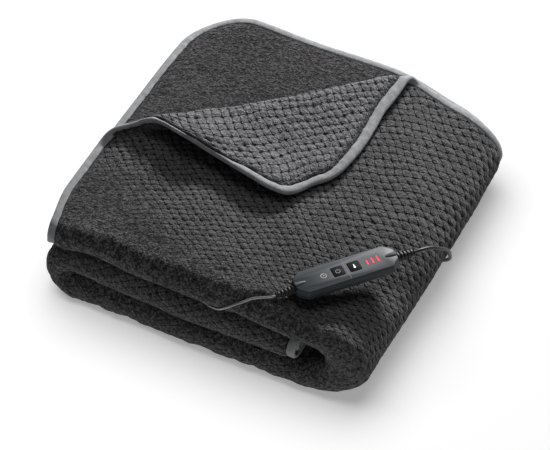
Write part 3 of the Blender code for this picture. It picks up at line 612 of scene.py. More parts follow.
def folded(s, t, w):
    """Where points of the flat sheet lie in the folded blanket, in the frame."""
    past, share = turn_place(s, t)
    ply, ply_normal = LENGTHWISE.read(t)
    panel, panel_normal = WIDTHWISE.read(s)
    bend_first, bend_last = WIDTHWISE.bends[0]
    turned = np.clip((s - bend_first) / (bend_last - bend_first), 0.0, 1.0)
    puff = 1 + BEND_PUFF * np.sin(math.pi * turned) ** 2
    y = ply[..., 0] + ply_normal[..., 0] * w
    rise = ply[..., 1] * puff + ply_normal[..., 1] * w
    x, z = np.moveaxis(panel + panel_normal * rise[..., None], -1, 0)
    inner = (t > LENGTHWISE.bends[0][1]) & (t < LENGTHWISE.bends[2][0])
    x = x + np.where(inner, tucked_corner(s, y), 0.0)
    near = (past > -TURN_FADE) & (s < TURN_BACK) & (t < TURN_LEFT)
    bow = np.where(near, fold_bow(share) * smooth(1 + past / TURN_FADE), 0.0)
    stacked = np.stack([x - TURN_OUT[0] * bow, y - TURN_OUT[1] * bow, z], -1)
    flap = turned_corner(np.maximum(past, 0.0), share, w)
    return laid(np.where((past > 0)[..., None], flap, stacked)) - BASE


# ---- relief

def soft_noise(u, v, cell, seed):
    """Smooth random hills from -1 to 1, about a cell apart."""
    rng = np.random.default_rng(seed)
    grid = rng.uniform(-1, 1, (257, 257))
    gu, gv = np.asarray(u) / cell, np.asarray(v) / cell
    iu, iv = np.floor(gu).astype(int), np.floor(gv).astype(int)
    fu, fv = smooth(gu - iu), smooth(gv - iv)
    iu, iv = iu % 256, iv % 256
    low = grid[iu, iv] * (1 - fu) + grid[iu + 1, iv] * fu
    high = grid[iu, iv + 1] * (1 - fu) + grid[iu + 1, iv + 1] * fu
    return low * (1 - fv) + high * fv


# the waffle's two slanting families of lines, in lines a metre along s and t
TOP_LINES = ((72.3, -62.5), (50.8, 80.1))
FLAP_LINES = ((70.3, -79.6), (55.7, 54.3))
CLOSER = 1.5  # the top's lines run closer together towards the front
CLOSER_START = 0.20
CLOSER_END = 0.46
WAFFLE_END = 0.285  # the t at which the top's waffle starts to fade,
END_STEPS = ((0.085, 0.03, 0.20), (0.03, 0.30, 0.12))  # how far that lies on along s,
END_WANDER = 0.018  # how much it wavers,
WAFFLE_FADE = 0.075  # and over what length it fades
PLUSH_DEPTH = 0.1  # share of the waffle that is left in the plush
INNER_DEPTH = 0.25  # and on the inner plies


def waffle_counts(s, t, under):
    """Counts of the two families of lines, whole numbers at the pits."""
    closer = CLOSER * np.maximum(np.minimum(t, CLOSER_END) - CLOSER_START, 0.0) ** 2
    counts = []
    for k in (0, 1):
        top = TOP_LINES[k][0] * s + TOP_LINES[k][1] * (t + closer)
        flap = FLAP_LINES[k][0] * s + FLAP_LINES[k][1] * t
        wander = 0.22 * soft_noise(s, t, 0.045, 11 + k) + 0.17 * soft_noise(s, t, 0.016, 21 + k)
        counts.append(np.where(under, flap, top) + wander)
    return counts


def waffle_depth(s, t, under):
    """How deep the waffle is: 1 on the top and the turned corner, 0 where the pile hides it."""
    past, _ = turn_place(s, t)
    front = WAFFLE_END + END_WANDER * soft_noise(s, t, 0.06, 31)
    for further, start, reach in END_STEPS:
        front = front + further * smooth((s - start) / reach)
    top = 1 - (1 - PLUSH_DEPTH) * smooth((t - front) / WAFFLE_FADE)
    top = np.where(t > LENGTHWISE.bends[0][1], INNER_DEPTH, top)
    return np.where(under, smooth((past + 0.02) / 0.012), top)


def relief(s, t, under):
    """How far the surface stands above or below the sheet's plain thickness."""
    first, second = waffle_counts(s, t, under)
    depth = waffle_depth(s, t, under)
    pillow = -(np.cos(2 * math.pi * first) + np.cos(2 * math.pi * second)) / 2
    pillow = 1 - 2 * ((1 - pillow) / 2) ** PILLOW_FULLNESS
    lumps = soft_noise(s, t, 0.0075, 41) + 0.6 * soft_noise(s, t, 0.0042, 42)
    swell = soft_noise(s, t, 0.034, 43)
    lower = between(s, WIDTHWISE.bends[0][1] - 0.05, 0.05, WIDTHWISE.bends[1][0], 0.05)
    coarse = soft_noise(s, t, 0.0125, 44)
    plain = LUMP_RISE * lumps + SWELL_RISE * swell + COARSE_RISE * lower * coarse
    return WAFFLE_RISE * depth * pillow + plain * (1.6 - 0.4 * depth)


# ---- the cloth's mesh

FINE = 0.0028
MEDIUM = 0.0048
COARSE = 0.016
EDGE_CLEAR = 0.0012


def cut_evenly(stops):
    """Lines from the first stop to the last; each stretch is cut to its own spacing."""
    lines = [stops[0][0]]
    for (start, spacing), (end, _) in zip(stops, stops[1:]):
        count = max(1, round((end - start) / spacing))
        lines += [start + (end - start) * k / count for k in range(1, count + 1)]
    return np.array(lines)


def rows_along():
    """The t of each row of points: close where the cloth shows or bends."""
    (_, front_end), (back, back_end), (inner, inner_end) = LENGTHWISE.bends
    corner = [CORNER_RADIUS * (1 - math.cos(math.radians(a))) for a in (0, 8, 15, 22)]
    rows = cut_evenly([(corner[-1], FINE), (front_end + 0.006, COARSE), (back, 0.0028), (back_end, COARSE),
                       (inner, 0.0024), (inner_end, COARSE), (SHEET_LENGTH - 0.31, MEDIUM),
                       (SHEET_LENGTH - corner[-1], 1.0)])
    return np.concatenate([corner[:-1], rows, [SHEET_LENGTH - c for c in corner[-2::-1]]])


def stretches_across():
    """Where every row may be cut, whatever its detail."""
    (right, right_end), (left, left_end) = WIDTHWISE.bends
    return cut_evenly([(0.0, COARSE), (right, 0.010), (right_end, COARSE), (left, 0.007),
                       (left_end, COARSE), (SHEET_WIDTH, 1.0)])


def spacing_wanted(s, t, under):
    """How close the points lie across the sheet, at each stretch of a row."""
    past, _ = turn_place(s, t)
    (front, front_end), _, _ = LENGTHWISE.bends
    right_end = WIDTHWISE.bends[0][1]
    left, left_end = WIDTHWISE.bends[1]
    wanted = np.full(s.shape, COARSE)
    if under:
        if t < TURN_LEFT + 0.02:
            wanted[past > -0.016] = FINE
        if t > SHEET_LENGTH - 0.315:
            wanted[s < 0.335] = MEDIUM
    elif t < front_end + 0.006:
        wanted[(s < right_end + 0.012) & (past < 0.016)] = FINE
        wanted[(s > left - 0.02) & (s < left_end + 0.02)] = MEDIUM
        if t > front - 0.014:
            wanted[s > right_end] = MEDIUM * 0.8
    return wanted


def row_of_points(t, stretches, under):
    """The s of each point in one row, from edge to edge."""
    to_edge = min(t, SHEET_LENGTH - t)
    in_corner = max(CORNER_RADIUS - to_edge, 0.0)
    corner = CORNER_RADIUS - math.sqrt(max(CORNER_RADIUS ** 2 - in_corner ** 2, 0.0))
    middles = (stretches[1:] + stretches[:-1]) / 2
    widths = np.diff(stretches)
    counts = np.maximum(1, np.round(widths / spacing_wanted(middles, t, under))).astype(int)
    lines = np.concatenate([start + width * np.arange(count) / count
                            for start, width, count in zip(stretches, widths, counts)])
    first, last = corner + EDGE_CLEAR, SHEET_WIDTH - corner - EDGE_CLEAR
    return np.concatenate([[corner], lines[(lines > first) & (lines < last)], [SHEET_WIDTH - corner]])


def zipped(low, high, points):
    """Faces between two rows of points, whose spacings may differ."""
    faces, i, j = [], 0, 0
    while i < len(low) - 1 or j < len(high) - 1:
        next_low = points[low[i + 1]][0] if i < len(low) - 1 else math.inf
        next_high = points[high[j + 1]][0] if j < len(high) - 1 else math.inf
        if abs(next_low - next_high) < 1e-7:
            faces.append((low[i], high[j], high[j + 1], low[i + 1]))
            i, j = i + 1, j + 1
        elif next_low < next_high:
            faces.append((low[i], high[j], low[i + 1]))
            i += 1
        else:
            faces.append((low[i], high[j], high[j + 1]))
            j += 1
    return faces


def edge_distance(s, t):
    """How far in from the sheet's rounded edge."""
    over_s, over_t = (np.abs(place - size / 2) - (size / 2 - CORNER_RADIUS)
                      for place, size in ((s, SHEET_WIDTH), (t, SHEET_LENGTH)))
    outside = np.hypot(np.maximum(over_s, 0), np.maximum(over_t, 0))
    return CORNER_RADIUS - (outside + np.minimum(np.maximum(over_s, over_t), 0))


MAINS_ON_CLOTH = 28  # points of each lead, from its relief on
THIN_ON_CLOTH = 17
THIN_RELIEF_END = 7  # the last of the points along the thin lead's relief


def lead_lines(place):
    """Points along the two reliefs and the part of each lead that lies on the cloth."""
    reliefs = [framed(place, (side * (HANDSET_LENGTH / 2 + reach), 0, LEAD_HEIGHT))
               for side in (-1, 1) for reach in np.arange(0.0, RELIEF_LENGTH, 0.003)]
    mains = smooth_route(mains_route(place), 0.004)[:MAINS_ON_CLOTH]
    thin = smooth_route(blanket_route(place), 0.004)[:THIN_ON_CLOTH]
    return np.concatenate([reliefs, mains, thin])


def pressed_by_leads(places, lines):
    """From 0 far from the leads to 1 beside them."""
    near = np.zeros(len(places))
    for point in lines:
        away = ((places - point) ** 2).sum(-1)
        near = np.maximum(near, np.exp(-away / PRESS_WIDTH ** 2))
    return near


def half_thickness(s, t, under, lines):
    """From the middle of the cloth to its face: thin in the binding, plump beside it."""
    plump = np.clip((edge_distance(s, t) - BINDING_LIP - HEM_CLEAR) / HEM_RISE, 0.0, 1.0)
    share = np.sqrt(1 - (1 - plump) ** 2)
    full = relief(s, t, under)
    places = folded(s, t, np.where(under, -PLY / 2, PLY / 2))
    x, y, _ = np.moveaxis(places + BASE, -1, 0)
    top = (t < LENGTHWISE.bends[0][0]) & (s < WIDTHWISE.bends[0][1]) & ~under
    full = full - np.where(top, PILE_PRESS * pressed_by_handset(x, y), 0.0)
    near = np.where(under, 0.0, pressed_by_leads(places, lines))
    from_relief = ((places - lines[THIN_RELIEF_END])[..., :2] ** 2).sum(-1)
    risen = np.where(top, NAP_RISE * np.exp(-from_relief / RISE_REACH ** 2), 0.0)
    full = PLY / 2 + full * (1 - near) - LEAD_PRESS * near + risen
    return EDGE_PLY / 2 + (full - EDGE_PLY / 2) * share


def carry(mesh, name, values):
    """Store a number at each point of a mesh."""
    mesh.attributes.new(name, "FLOAT", "POINT").data.foreach_set("value", np.asarray(values, np.float32))


def map_points(mesh, name, first, second):
    """Store a map of two numbers a point."""
    layer = mesh.uv_layers.new(name=name)
    corner = np.empty(len(mesh.loops), np.int32)
    mesh.loops.foreach_get("vertex_index", corner)
    layer.data.foreach_set("uv", np.stack([first[corner], second[corner]], -1).astype(np.float32).ravel())


def placed(name, data):
    """A new object in the scene."""
    made = bpy.data.objects.new(name, data)
    bpy.context.scene.collection.objects.link(made)
    return made


def add_piece(name, data, material, body="blanket", place=None, replaces=()):
    """A named piece in its material that rides on a body and stands for nodes of the frame."""
    if place:
        data.transform(place)
    piece = placed(name, data)
    data.materials.append(material)
    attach(piece, body)
    if replaces:
        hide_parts(*replaces)
    return piece


def folded_mesh(name, s, t, w, faces):
    """A mesh of the sheet's points in their folds. The floor presses the pile flat."""
    places = folded(s, t, w)
    places[:, 2] = np.maximum(places[:, 2], 0.0)
    mesh = bpy.data.meshes.new(name)
    mesh.from_pydata(places.tolist(), [], faces)
    mesh.shade_smooth()
    return mesh


def sheet_skin():
    """Each point's s, t and side on the sheet, in a closed skin, and the faces between them."""
    rows, stretches = rows_along(), stretches_across()
    points, faces, sides = [], [], []
    for under in (False, True):
        lines = []
        for k, t in enumerate(rows):
            across = row_of_points(t, stretches, under and 0 < k < len(rows) - 1)
            lines.append(range(len(points), len(points) + len(across)))
            points += [(s, t, under) for s in across]
        for low, high in zip(lines, lines[1:]):
            faces += [face[::-1] if under else face for face in zipped(low, high, points)]
        sides.append(lines)
    top, below = sides
    for end, turn in ((0, 1), (-1, -1)):
        for corners in zip(top[end], top[end][1:], below[end][1:], below[end]):
            faces.append(corners[::turn])
    for a, a_next, b, b_next in zip(top, top[1:], below, below[1:]):
        faces += [(a[0], b[0], b_next[0], a_next[0]), (a[-1], a_next[-1], b_next[-1], b[-1])]
    return [np.array(column) for column in zip(*points)], faces


def make_cloth(material, lines):
    """The whole sheet in its folds, one closed skin, finest where it shows."""
    (s, t, under), faces = sheet_skin()
    w = half_thickness(s, t, under, lines) * np.where(under, -1, 1)
    mesh = folded_mesh("cloth", s, t, w, faces)
    past, _ = turn_place(s, t)
    inset = edge_distance(s, t) - BINDING_LIP
    bend_first, bend_last = LENGTHWISE.bends[0]
    map_points(mesh, "flat", s, t)
    map_points(mesh, "waffle", *waffle_counts(s, t, under))
    carry(mesh, "waffle_depth", waffle_depth(s, t, under) * smooth(inset / HEM_FLAT))
    # painted shade: a narrow band of the cloth's colour is darkened beside the tape's seam
    carry(mesh, "seam_painted_shade", 1 - smooth(inset / HEM_SHADE))
    carry(mesh, "light_nap", np.where(under, smooth((past + 0.012) / 0.015), 0.0))
    top_plush = TOP_PLUSH * (1 - smooth((t - bend_first + 0.02) / 0.03))
    carry(mesh, "plush", np.where(under, t > bend_last, top_plush))
    return add_piece("cloth_fleece", mesh, material, replaces=["cloth"])


# ---- the binding

def sheet_edge(spacing):
    """Points round the sheet's edge, the outward normal at each, and the length so far."""
    points, normals = [], []
    steps = max(4, round(CORNER_RADIUS * math.pi / 2 / spacing))
    for k, (right, far, first) in enumerate(((0, 0, 180), (1, 0, 270), (1, 1, 0), (0, 1, 90))):
        centre = np.array([CORNER_RADIUS + right * (SHEET_WIDTH - 2 * CORNER_RADIUS),
                           CORNER_RADIUS + far * (SHEET_LENGTH - 2 * CORNER_RADIUS)])
        for step in range(steps + 1):
            angle = math.radians(first + 90 * step / steps)
            normals.append(np.array([math.cos(angle), math.sin(angle)]))
            points.append(centre + CORNER_RADIUS * normals[-1])
        run = (SHEET_LENGTH if k % 2 else SHEET_WIDTH) - 2 * CORNER_RADIUS
        count = round(run / spacing)
        start, ahead = points[-1], np.array([-normals[-1][1], normals[-1][0]])
        points += [start + ahead * run * step / count for step in range(1, count)]
        normals += [normals[-1]] * (count - 1)
    return np.array(points), np.array(normals), lengths_along(points)


def make_binding(material):
    """The tape over the edge: rounded, slightly puckered where it is sewn."""
    points, normals, lengths = sheet_edge(TAPE_STEP)
    groove = EDGE_PLY / 2 + GAP
    profile = [*TAPE_HALF, TAPE_FOLD, *((inset, -height) for inset, height in reversed(TAPE_HALF)),
               (BINDING_LIP, -groove), (-GAP, -groove), (-GAP, groove), (BINDING_LIP, groove)]
    count, around = len(points), len(profile)
    pucker = soft_noise(lengths, 0 * lengths, 0.0052, 51)
    pucker += 0.7 * soft_noise(lengths, 0 * lengths, 0.013, 52)
    pucker *= smooth(np.minimum(lengths, lengths[-1] - lengths) / 0.02)
    rows = []
    for inset, height in profile:
        outside = abs(height) > groove + 1e-5
        shift = (PUCKER_AT_SEAM if inset > 0.006 else PUCKER) * pucker * outside
        place = points - normals * (inset + shift)[:, None]
        swell = 1 + PUCKER_SWELL * pucker * (outside and 0.002 < inset)
        rows.append([place[:, 0], place[:, 1], height * swell])
    s, t, w = (column.T.ravel() for column in np.array(rows).swapaxes(0, 1))
    faces = [(i * around + k, after * around + k, after * around + j, i * around + j)
             for i, after in zip(range(count), [*range(1, count), 0])
             for k, j in zip(range(around), [*range(1, around), 0])]
    mesh = folded_mesh("binding", s, t, w, faces)
    map_points(mesh, "flat", np.repeat(lengths, around), w)
    return add_piece("binding_tape", mesh, material, replaces=["binding"])


# ---- the handset

def handset_place():
    """The middle of the handset's underside; X runs along the handset."""
    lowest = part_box("handset_housing")[0].z
    height = lowest + math.sin(HANDSET_PITCH) * (HANDSET_LENGTH / 2 - 2 * HANDSET_EDGE)
    turn = Matrix.Rotation(HANDSET_YAW, 4, "Z") @ Matrix.Rotation(HANDSET_PITCH, 4, "Y")
    return Matrix.Translation((HANDSET_CENTRE[0] - BASE[0], HANDSET_CENTRE[1] - BASE[1], height)) @ turn


def rounded(points, radius, steps=4):
    """An outline with its corners rounded."""
    result = []
    for k, here in enumerate(points):
        here = Vector(here)
        before, after = (Vector(points[(k + turn) % len(points)]) - here for turn in (-1, 1))
        cut = min(radius, 0.4 * before.length, 0.4 * after.length)
        start, end = here + before.normalized() * cut, here + after.normalized() * cut
        for step in range(steps + 1):
            u = step / steps
            result.append(start * (1 - u) ** 2 + here * 2 * u * (1 - u) + end * u ** 2)
    return [tuple(point) for point in result]


def handset_outline(inset):
    """Eight rounded corners: a long plate whose ends taper in steps."""
    length, width = HANDSET_LENGTH / 2 - inset, HANDSET_WIDTH / 2 - inset
    tip = HANDSET_END_WIDTH / 2 - inset / 2
    quarter = [(length, tip), (length - HANDSET_END, width)]
    upper = quarter + [(-x, y) for x, y in reversed(quarter)]
    return rounded(upper + [(-x, -y) for x, y in upper], 0.0016)


def skinned(rings, bm=None):
    """A closed skin through rings of points, added to a mesh or to a new one."""
    bm = bmesh.new() if bm is None else bm
    rings = [[bm.verts.new(point) for point in ring] for ring in rings]
    bm.faces.new(rings[0])
    bm.faces.new(rings[-1])
    for lower, upper in zip(rings, rings[1:]):
        for k in range(len(lower)):
            after = (k + 1) % len(lower)
            bm.faces.new((lower[k], lower[after], upper[after], upper[k]))
    return bm


def stacked(levels):
    """A closed skin through outlines, each at its height."""
    return skinned([[(x, y, z) for x, y in points] for points, z in levels])


def rectangle(size_x, size_y, corner):
    x, y = size_x / 2, size_y / 2
    return rounded([(x, y), (-x, y), (-x, -y), (x, -y)], corner, 6)


def mesh_from(bm, name, angle=35):
    """A mesh of closed skins: faces outwards, and smooth but for the edges past an angle."""
    bmesh.ops.recalc_face_normals(bm, faces=bm.faces[:])
    mesh = bpy.data.meshes.new(name)
    bm.to_mesh(mesh)
    bm.free()
    mesh.shade_smooth()
    mesh.set_sharp_from_angle(angle=math.radians(angle))
    return mesh


def cut_out(mesh, cutters):
    """Take closed skins out of a mesh with Booleans."""
    body = placed("blank", mesh)
    tools = []
    for bm in cutters:
        tools.append(placed("cutter", mesh_from(bm, "cutter")))
        cut = body.modifiers.new("cut", "BOOLEAN")
        cut.operation = "DIFFERENCE"
        cut.object = tools[-1]
    graph = bpy.context.evaluated_depsgraph_get()
    result = bpy.data.meshes.new_from_object(body.evaluated_get(graph))
    for item in tools + [body]:
        bpy.data.objects.remove(item, do_unlink=True)
    result.set_sharp_from_angle(angle=math.radians(35))
    return result


def moved(bm, x, y=0.0, z=0.0):
    bmesh.ops.translate(bm, vec=(x, y, z), verts=bm.verts)
    return bm


def make_housing(place, material):
    """The case: rounded plate with a parting groove and pockets for the keys and lamps."""
    top, edge = HANDSET_HEIGHT, HANDSET_EDGE
    levels = [(0.0034, 0.0), (0.0022, 0.04), (0.0, 0.32), (0.0, 0.47), (0.0004, 0.475), (0.0004, 0.50),
              (0.0, 0.505), (0.0, 0.56), (0.75 * edge, 0.93), (0.95 * edge, 0.975), (1.30 * edge, 1.0)]
    case = mesh_from(stacked([(handset_outline(inset), share * top) for inset, share in levels]),
                     "handset_case")
    above = top + 0.002
    floor = top + KEY_PROUD - KEY_HEIGHT - KEY_TRAVEL - GAP
    pocket = rectangle(KEY_SIDE + 2 * GAP, KEY_SIDE + 2 * GAP, 0.0022)
    cutters = [moved(stacked([(pocket, floor), (pocket, above)]), x) for x in KEY_PLACES.values()]
    for x, length in LAMPS.values():
        slot = rectangle(LAMP_WIDTH + 2 * GAP, length + 2 * GAP, 0.0010)
        aside = (length - LAMPS["lamp_low"][1]) / 2
        cutters.append(moved(stacked([(slot, top - LAMP_DEPTH - GAP), (slot, above)]), x, aside))
    add_piece("handset_case", cut_out(case, cutters), material, place=place,
              replaces=["handset_housing"])


def make_noses(place, material):
    """A tapered nose on the case's face above each lead."""
    for name, side in (("handset_nose_right", 1), ("handset_nose_left", -1)):
        rings = []
        for step in range(NOSE_STEPS + 1):
            share = step / NOSE_STEPS
            size = NOSE_RADIUS * math.sqrt(1 - share ** 2) * (1 - 0.25 * share) + 0.0002
            x = side * (HANDSET_LENGTH / 2 - 0.0012 - NOSE_LENGTH * share)
            sink = HANDSET_HEIGHT - 0.0030 + 0.0020 * share
            rings.append([(x, size * math.cos(a), sink + 0.85 * size * math.sin(a))
                          for a in (math.pi * k / 16 for k in range(17))])
        add_piece(name, mesh_from(skinned(rings), name, 50), material, place=place)


def make_keys(place, material, ink, bright):
    """Two pillowed keys, each with its printed sign, riding on its own body."""
    top = HANDSET_HEIGHT + KEY_PROUD
    levels = [(KEY_SIDE, top - KEY_HEIGHT), (KEY_SIDE, top - 0.0005), (KEY_SIDE - 0.0004, top - 0.0002),
              (KEY_SIDE - 0.0014, top)]
    for name, x in KEY_PLACES.items():
        cap = moved(stacked([(rectangle(size, size, 0.0018), z) for size, z in levels]), x)
        add_piece(name + "_cap", mesh_from(cap, name), material, name, place, [name])
        sign, colour = (power_sign(), ink) if name == "key_power" else (heat_sign(), bright)
        mesh = mesh_from(moved(sign, x, 0.0, top), name + "_sign")
        add_piece(name + "_sign", mesh, colour, name, place)


def bar(bm, start, end, width):
    """A straight printed stroke with square ends."""
    start, end = Vector(start), Vector(end)
    ahead = (end - start).normalized()
    aside = Vector((-ahead.y, ahead.x)) * width / 2
    strip(bm, [start, end], [aside, aside])


def strip(bm, middles, asides):
    """A printed stroke of any path, as a thin closed plate."""
    rings = []
    for middle, aside in zip(middles, asides):
        left, right = middle + aside, middle - aside
        rings.append([(p.x, p.y, z) for p, z in ((left, -PRINT), (right, -PRINT),
                                                 (right, PRINT), (left, PRINT))])
    skinned(rings, bm)


def arc(bm, radius, first, last, width, steps=24):
    """A printed arc round the origin, in degrees."""
    middles, asides = [], []
    for step in range(steps + 1):
        angle = math.radians(first + (last - first) * step / steps)
        ray = Vector((math.cos(angle), math.sin(angle)))
        middles.append(ray * radius)
        asides.append(-ray * width / 2)
    strip(bm, middles, asides)


def power_sign():
    """An open ring with a bar at its top."""
    bm = bmesh.new()
    arc(bm, 0.0027, 125, 415, 0.0005)
    bar(bm, (0, 0.0012), (0, 0.0036), 0.0005)
    return bm


def heat_sign():
    """A thermometer: a filled bulb with its stem."""
    angles = [2 * math.pi * k / 20 for k in range(20)]
    bulb = [(0.0014 * math.cos(a), -0.0014 + 0.0014 * math.sin(a)) for a in angles]
    bm = stacked([(bulb, -PRINT), (bulb, PRINT)])
    bar(bm, (0, -0.0005), (0, 0.0030), 0.0013)
    return bm


def make_marks(place, ink, rose):
    """A plain clock sign printed beside the keys, and a thin line between them."""
    clock, line = bmesh.new(), bmesh.new()
    arc(clock, 0.0033, 0, 360, 0.00055, 36)
    bar(clock, (0, 0), (0, 0.0020), 0.00050)
    bar(clock, (0, 0), (0.0013, -0.0006), 0.00050)
    half = HANDSET_WIDTH / 2 - 0.0035
    bar(line, (0, -half), (0, half), 0.0004)
    for name, bm, x, colour in (("handset_clock_sign", clock, -0.0285, ink),
                                ("handset_line", line, sum(KEY_PLACES.values()) / 2, rose)):
        mesh = mesh_from(moved(bm, x, 0.0, HANDSET_HEIGHT), name)
        add_piece(name, mesh, colour, place=place)


def turned_mesh(name, profile, steps=36):
    """Turn (radius, height) points round Z."""
    bm = bmesh.new()
    points = [bm.verts.new((radius, 0, height)) for radius, height in profile]
    for a, b in zip(points, points[1:]):
        bm.edges.new((a, b))
    bmesh.ops.spin(bm, geom=bm.verts[:] + bm.edges[:], axis=(0, 0, 1), cent=(0, 0, 0),
                   angle=2 * math.pi, steps=steps, use_merge=True)
    bmesh.ops.remove_doubles(bm, verts=bm.verts, dist=1e-6)
    return mesh_from(bm, name, 40)


def ribbed_profile(length, wide, narrow, ribs):
    """A tapered strain relief with rounded ribs and grooves between them."""
    profile = [(0.0, 0.0), (wide / 2 - 0.0003, 0.0)]
    for rib in range(ribs):
        for share, depth in RIB:
            along = (rib + share) / ribs
            radius = wide / 2 + (narrow - wide) / 2 * along - depth * (1 - 0.5 * along)
            profile.append((radius, length * along))
    return profile + [(narrow / 2, length - 0.0003), (narrow / 2 - 0.0003, length), (0.0, length)]


def make_reliefs(place, material):
    """The sleeve at each end of the handset, by the name of its node."""
    made = {}
    for name, side, lead in (("relief_mains", 1, MAINS_LEAD), ("relief_blanket", -1, BLANKET_LEAD)):
        profile = ribbed_profile(RELIEF_LENGTH, RELIEF_ROOT, lead + 2 * RELIEF_WALL, RELIEF_RIBS)
        end = Matrix.Translation((side * (HANDSET_LENGTH / 2 + GAP), 0, LEAD_HEIGHT))
        made[name] = add_piece(name + "_sleeve", turned_mesh(name, profile), material,
                               place=place @ end @ Matrix.Rotation(side * math.pi / 2, 4, "Y"),
                               replaces=[name])
    return made


# ---- the leads

def smooth_route(points, spacing):
    """Points at an even spacing on a smooth curve through the route's own points."""
    ends = [2 * points[0] - points[1]] + points + [2 * points[-1] - points[-2]]
    dense = []
    for a, b, c, d in zip(ends, ends[1:], ends[2:], ends[3:]):
        for u in np.arange(12) / 12:
            dense.append(0.5 * (2 * b + (c - a) * u + (2 * a - 5 * b + 4 * c - d) * u ** 2
                                + (3 * b - a - 3 * c + d) * u ** 3))
    dense = np.array(dense + [points[-1]])
    lengths = lengths_along(dense)
    even = np.linspace(0, lengths[-1], max(2, round(lengths[-1] / spacing)) + 1)
    return np.stack([np.interp(even, lengths, column) for column in dense.T], -1)


def framed(place, point):
    """A point of the handset or plug, in the frame."""
    return np.array(place @ Vector(point))


def based(*points):
    """Points counted from the folded corner, as the frame has them."""
    return [np.array(point) - BASE for point in points]


def lead_start(place, side, straight):
    """Where a lead leaves its relief, and a point straight ahead."""
    start = framed(place, (side * (HANDSET_LENGTH / 2 + 2 * GAP + RELIEF_LENGTH), 0, LEAD_HEIGHT))
    return [start, start + np.array(place.to_3x3() @ Vector((side, 0, 0))) * straight]


def mains_route(place):
    """From the handset, over the right edge, down under the bulge and round to the coil."""
    floor = MAINS_LEAD / 2 + GAP
    middle = (LAST_FLOOR_X, 0.5 * (FLOOR_ROUTE[-1][1] + COIL_SIDE))
    on_floor = [(x, y, floor) for x, y in (*FLOOR_ROUTE, middle, (COIL_CENTRE[0], COIL_SIDE))]
    return lead_start(place, 1, MAINS_STRAIGHT) + based(*MAINS_ROUTE, *on_floor)


def coil_route():
    """Eight turns: the lower row wound inwards, then the upper row wound out again."""
    radii = [COIL_OUTER + GAP + MAINS_LEAD / 2]
    radii += [COIL_MIDDLE + ((COIL_COLUMNS - 1) / 2 - k) * TURN_PITCH for k in range(COIL_COLUMNS)]
    low, high = GAP + TURN_PITCH / 2, GAP + 1.5 * TURN_PITCH
    points = []
    for turn in range(COIL_ROWS * COIL_COLUMNS):
        outward = 2 * COIL_COLUMNS - turn
        for degrees in range(0, 360, 9):
            if turn < COIL_COLUMNS:
                before, after, ease = radii[turn], radii[turn + 1], smooth(degrees / 60)
                height = low + (high - low) * smooth((degrees - 300) / 60) * (turn == COIL_COLUMNS - 1)
            else:
                before, after, height = radii[outward], radii[outward - 1], high
                ease = smooth((degrees - (240 if outward > 1 else 300)) / 60)
            radius, angle = before + (after - before) * ease, math.radians(-90 - degrees)
            points.append((COIL_CENTRE[0] + radius * math.cos(angle),
                           COIL_CENTRE[1] + radius * math.sin(angle), height))
    return based(*points)


def plug_place():
    """The tip of the plug's tail; X runs along the plug."""
    corner = Vector((COIL_CENTRE[0] - COIL_OUTER, COIL_CENTRE[1], PLUG_HEIGHT / 2 + GAP))
    turn = Matrix.Rotation(PLUG_YAW, 4, "Z")
    return Matrix.Translation(corner + Vector((*TAIL_PLACE, 0)) - Vector(BASE)) @ turn


def plug_route(tail):
    """From the coil's upper row to the plug."""
    height = (COIL_ROWS - 0.5) * TURN_PITCH
    return based(
        (COIL_CENTRE[0] - 0.005, COIL_SIDE - 0.0002, height),
        (COIL_CENTRE[0] - 0.020, COIL_SIDE + 0.0005, height - 0.0002),
        (COIL_CENTRE[0] - 0.038, COIL_SIDE + 0.0040, tail[2]),
    ) + [tail + np.array([0.014, -0.0020, 0]), tail]


def blanket_route(place):
    """From the handset over the front roll, into the groove below the top panel."""
    reach = HALF_PACK + BLANKET_LEAD / 2 + 2 * GAP
    route = lead_start(place, -1, BLANKET_STRAIGHT)
    for x, angle in ROLL_ROUTE:
        y = HALF_PACK - reach * math.cos(math.radians(angle))
        z = HALF_PACK + 2 * PANEL_PITCH + reach * math.sin(math.radians(angle))
        route.append(laid((x, y, z)) - BASE)
    return route + [laid((x, y, HALF_PACK + 1.5 * PANEL_PITCH)) - BASE for x, y in GROOVE_ROUTE]


def make_lead(name, points, diameter, material, *nodes):
    """A round sheath along a line of points."""
    curve = bpy.data.curves.new(name, "CURVE")
    curve.dimensions = "3D"
    curve.bevel_depth = diameter / 2
    curve.bevel_resolution = 4
    curve.use_fill_caps = True
    spline = curve.splines.new("POLY")
    spline.points.add(len(points) - 1)
    for knot, point in zip(spline.points, points):
        knot.co = (*point, 1.0)
    return add_piece(name, curve, material, replaces=nodes)


def make_plug(material, metal):
    """A flat plug with soft edges, a ribbed tail and two plated pins."""
    place = plug_place()
    half = PLUG_HEIGHT / 2
    upper = [(0.0, 0.0003), (0.0, half - 0.0022), (0.0012, half - 0.0005), (0.0040, half)]
    levels = [(inset, -z) for inset, z in reversed(upper)] + [(0.0004, 0.0)] + upper
    bm = stacked([(rectangle(PLUG_LENGTH - inset, PLUG_WIDTH - inset, PLUG_CORNER - inset / 2), z)
                  for inset, z in levels])
    body = mesh_from(moved(bm, PLUG_TAIL + GAP + PLUG_LENGTH / 2), "plug_shell")
    shell = add_piece("plug_shell", body, material, place=place, replaces=["plug_body"])
    profile = ribbed_profile(PLUG_TAIL, TAIL_ROOT, MAINS_LEAD + 2 * TAIL_WALL, TAIL_RIBS)
    place = place @ Matrix.Translation((PLUG_TAIL, 0, 0)) @ Matrix.Rotation(-math.pi / 2, 4, "Y")
    sleeve = add_piece("plug_tail_sleeve", turned_mesh("plug_tail", profile), material,
                       place=place, replaces=["plug_tail"])
    pins = [frame["nodes"][name] for name in ("plug_pin_left", "plug_pin_right")]
    for pin in pins:
        dress(pin, metal)
    return [shell, sleeve] + pins


def dress(node, material):
    """Give a node of the frame a material of its own."""
    node.data.materials.clear()
    node.data.materials.append(material)


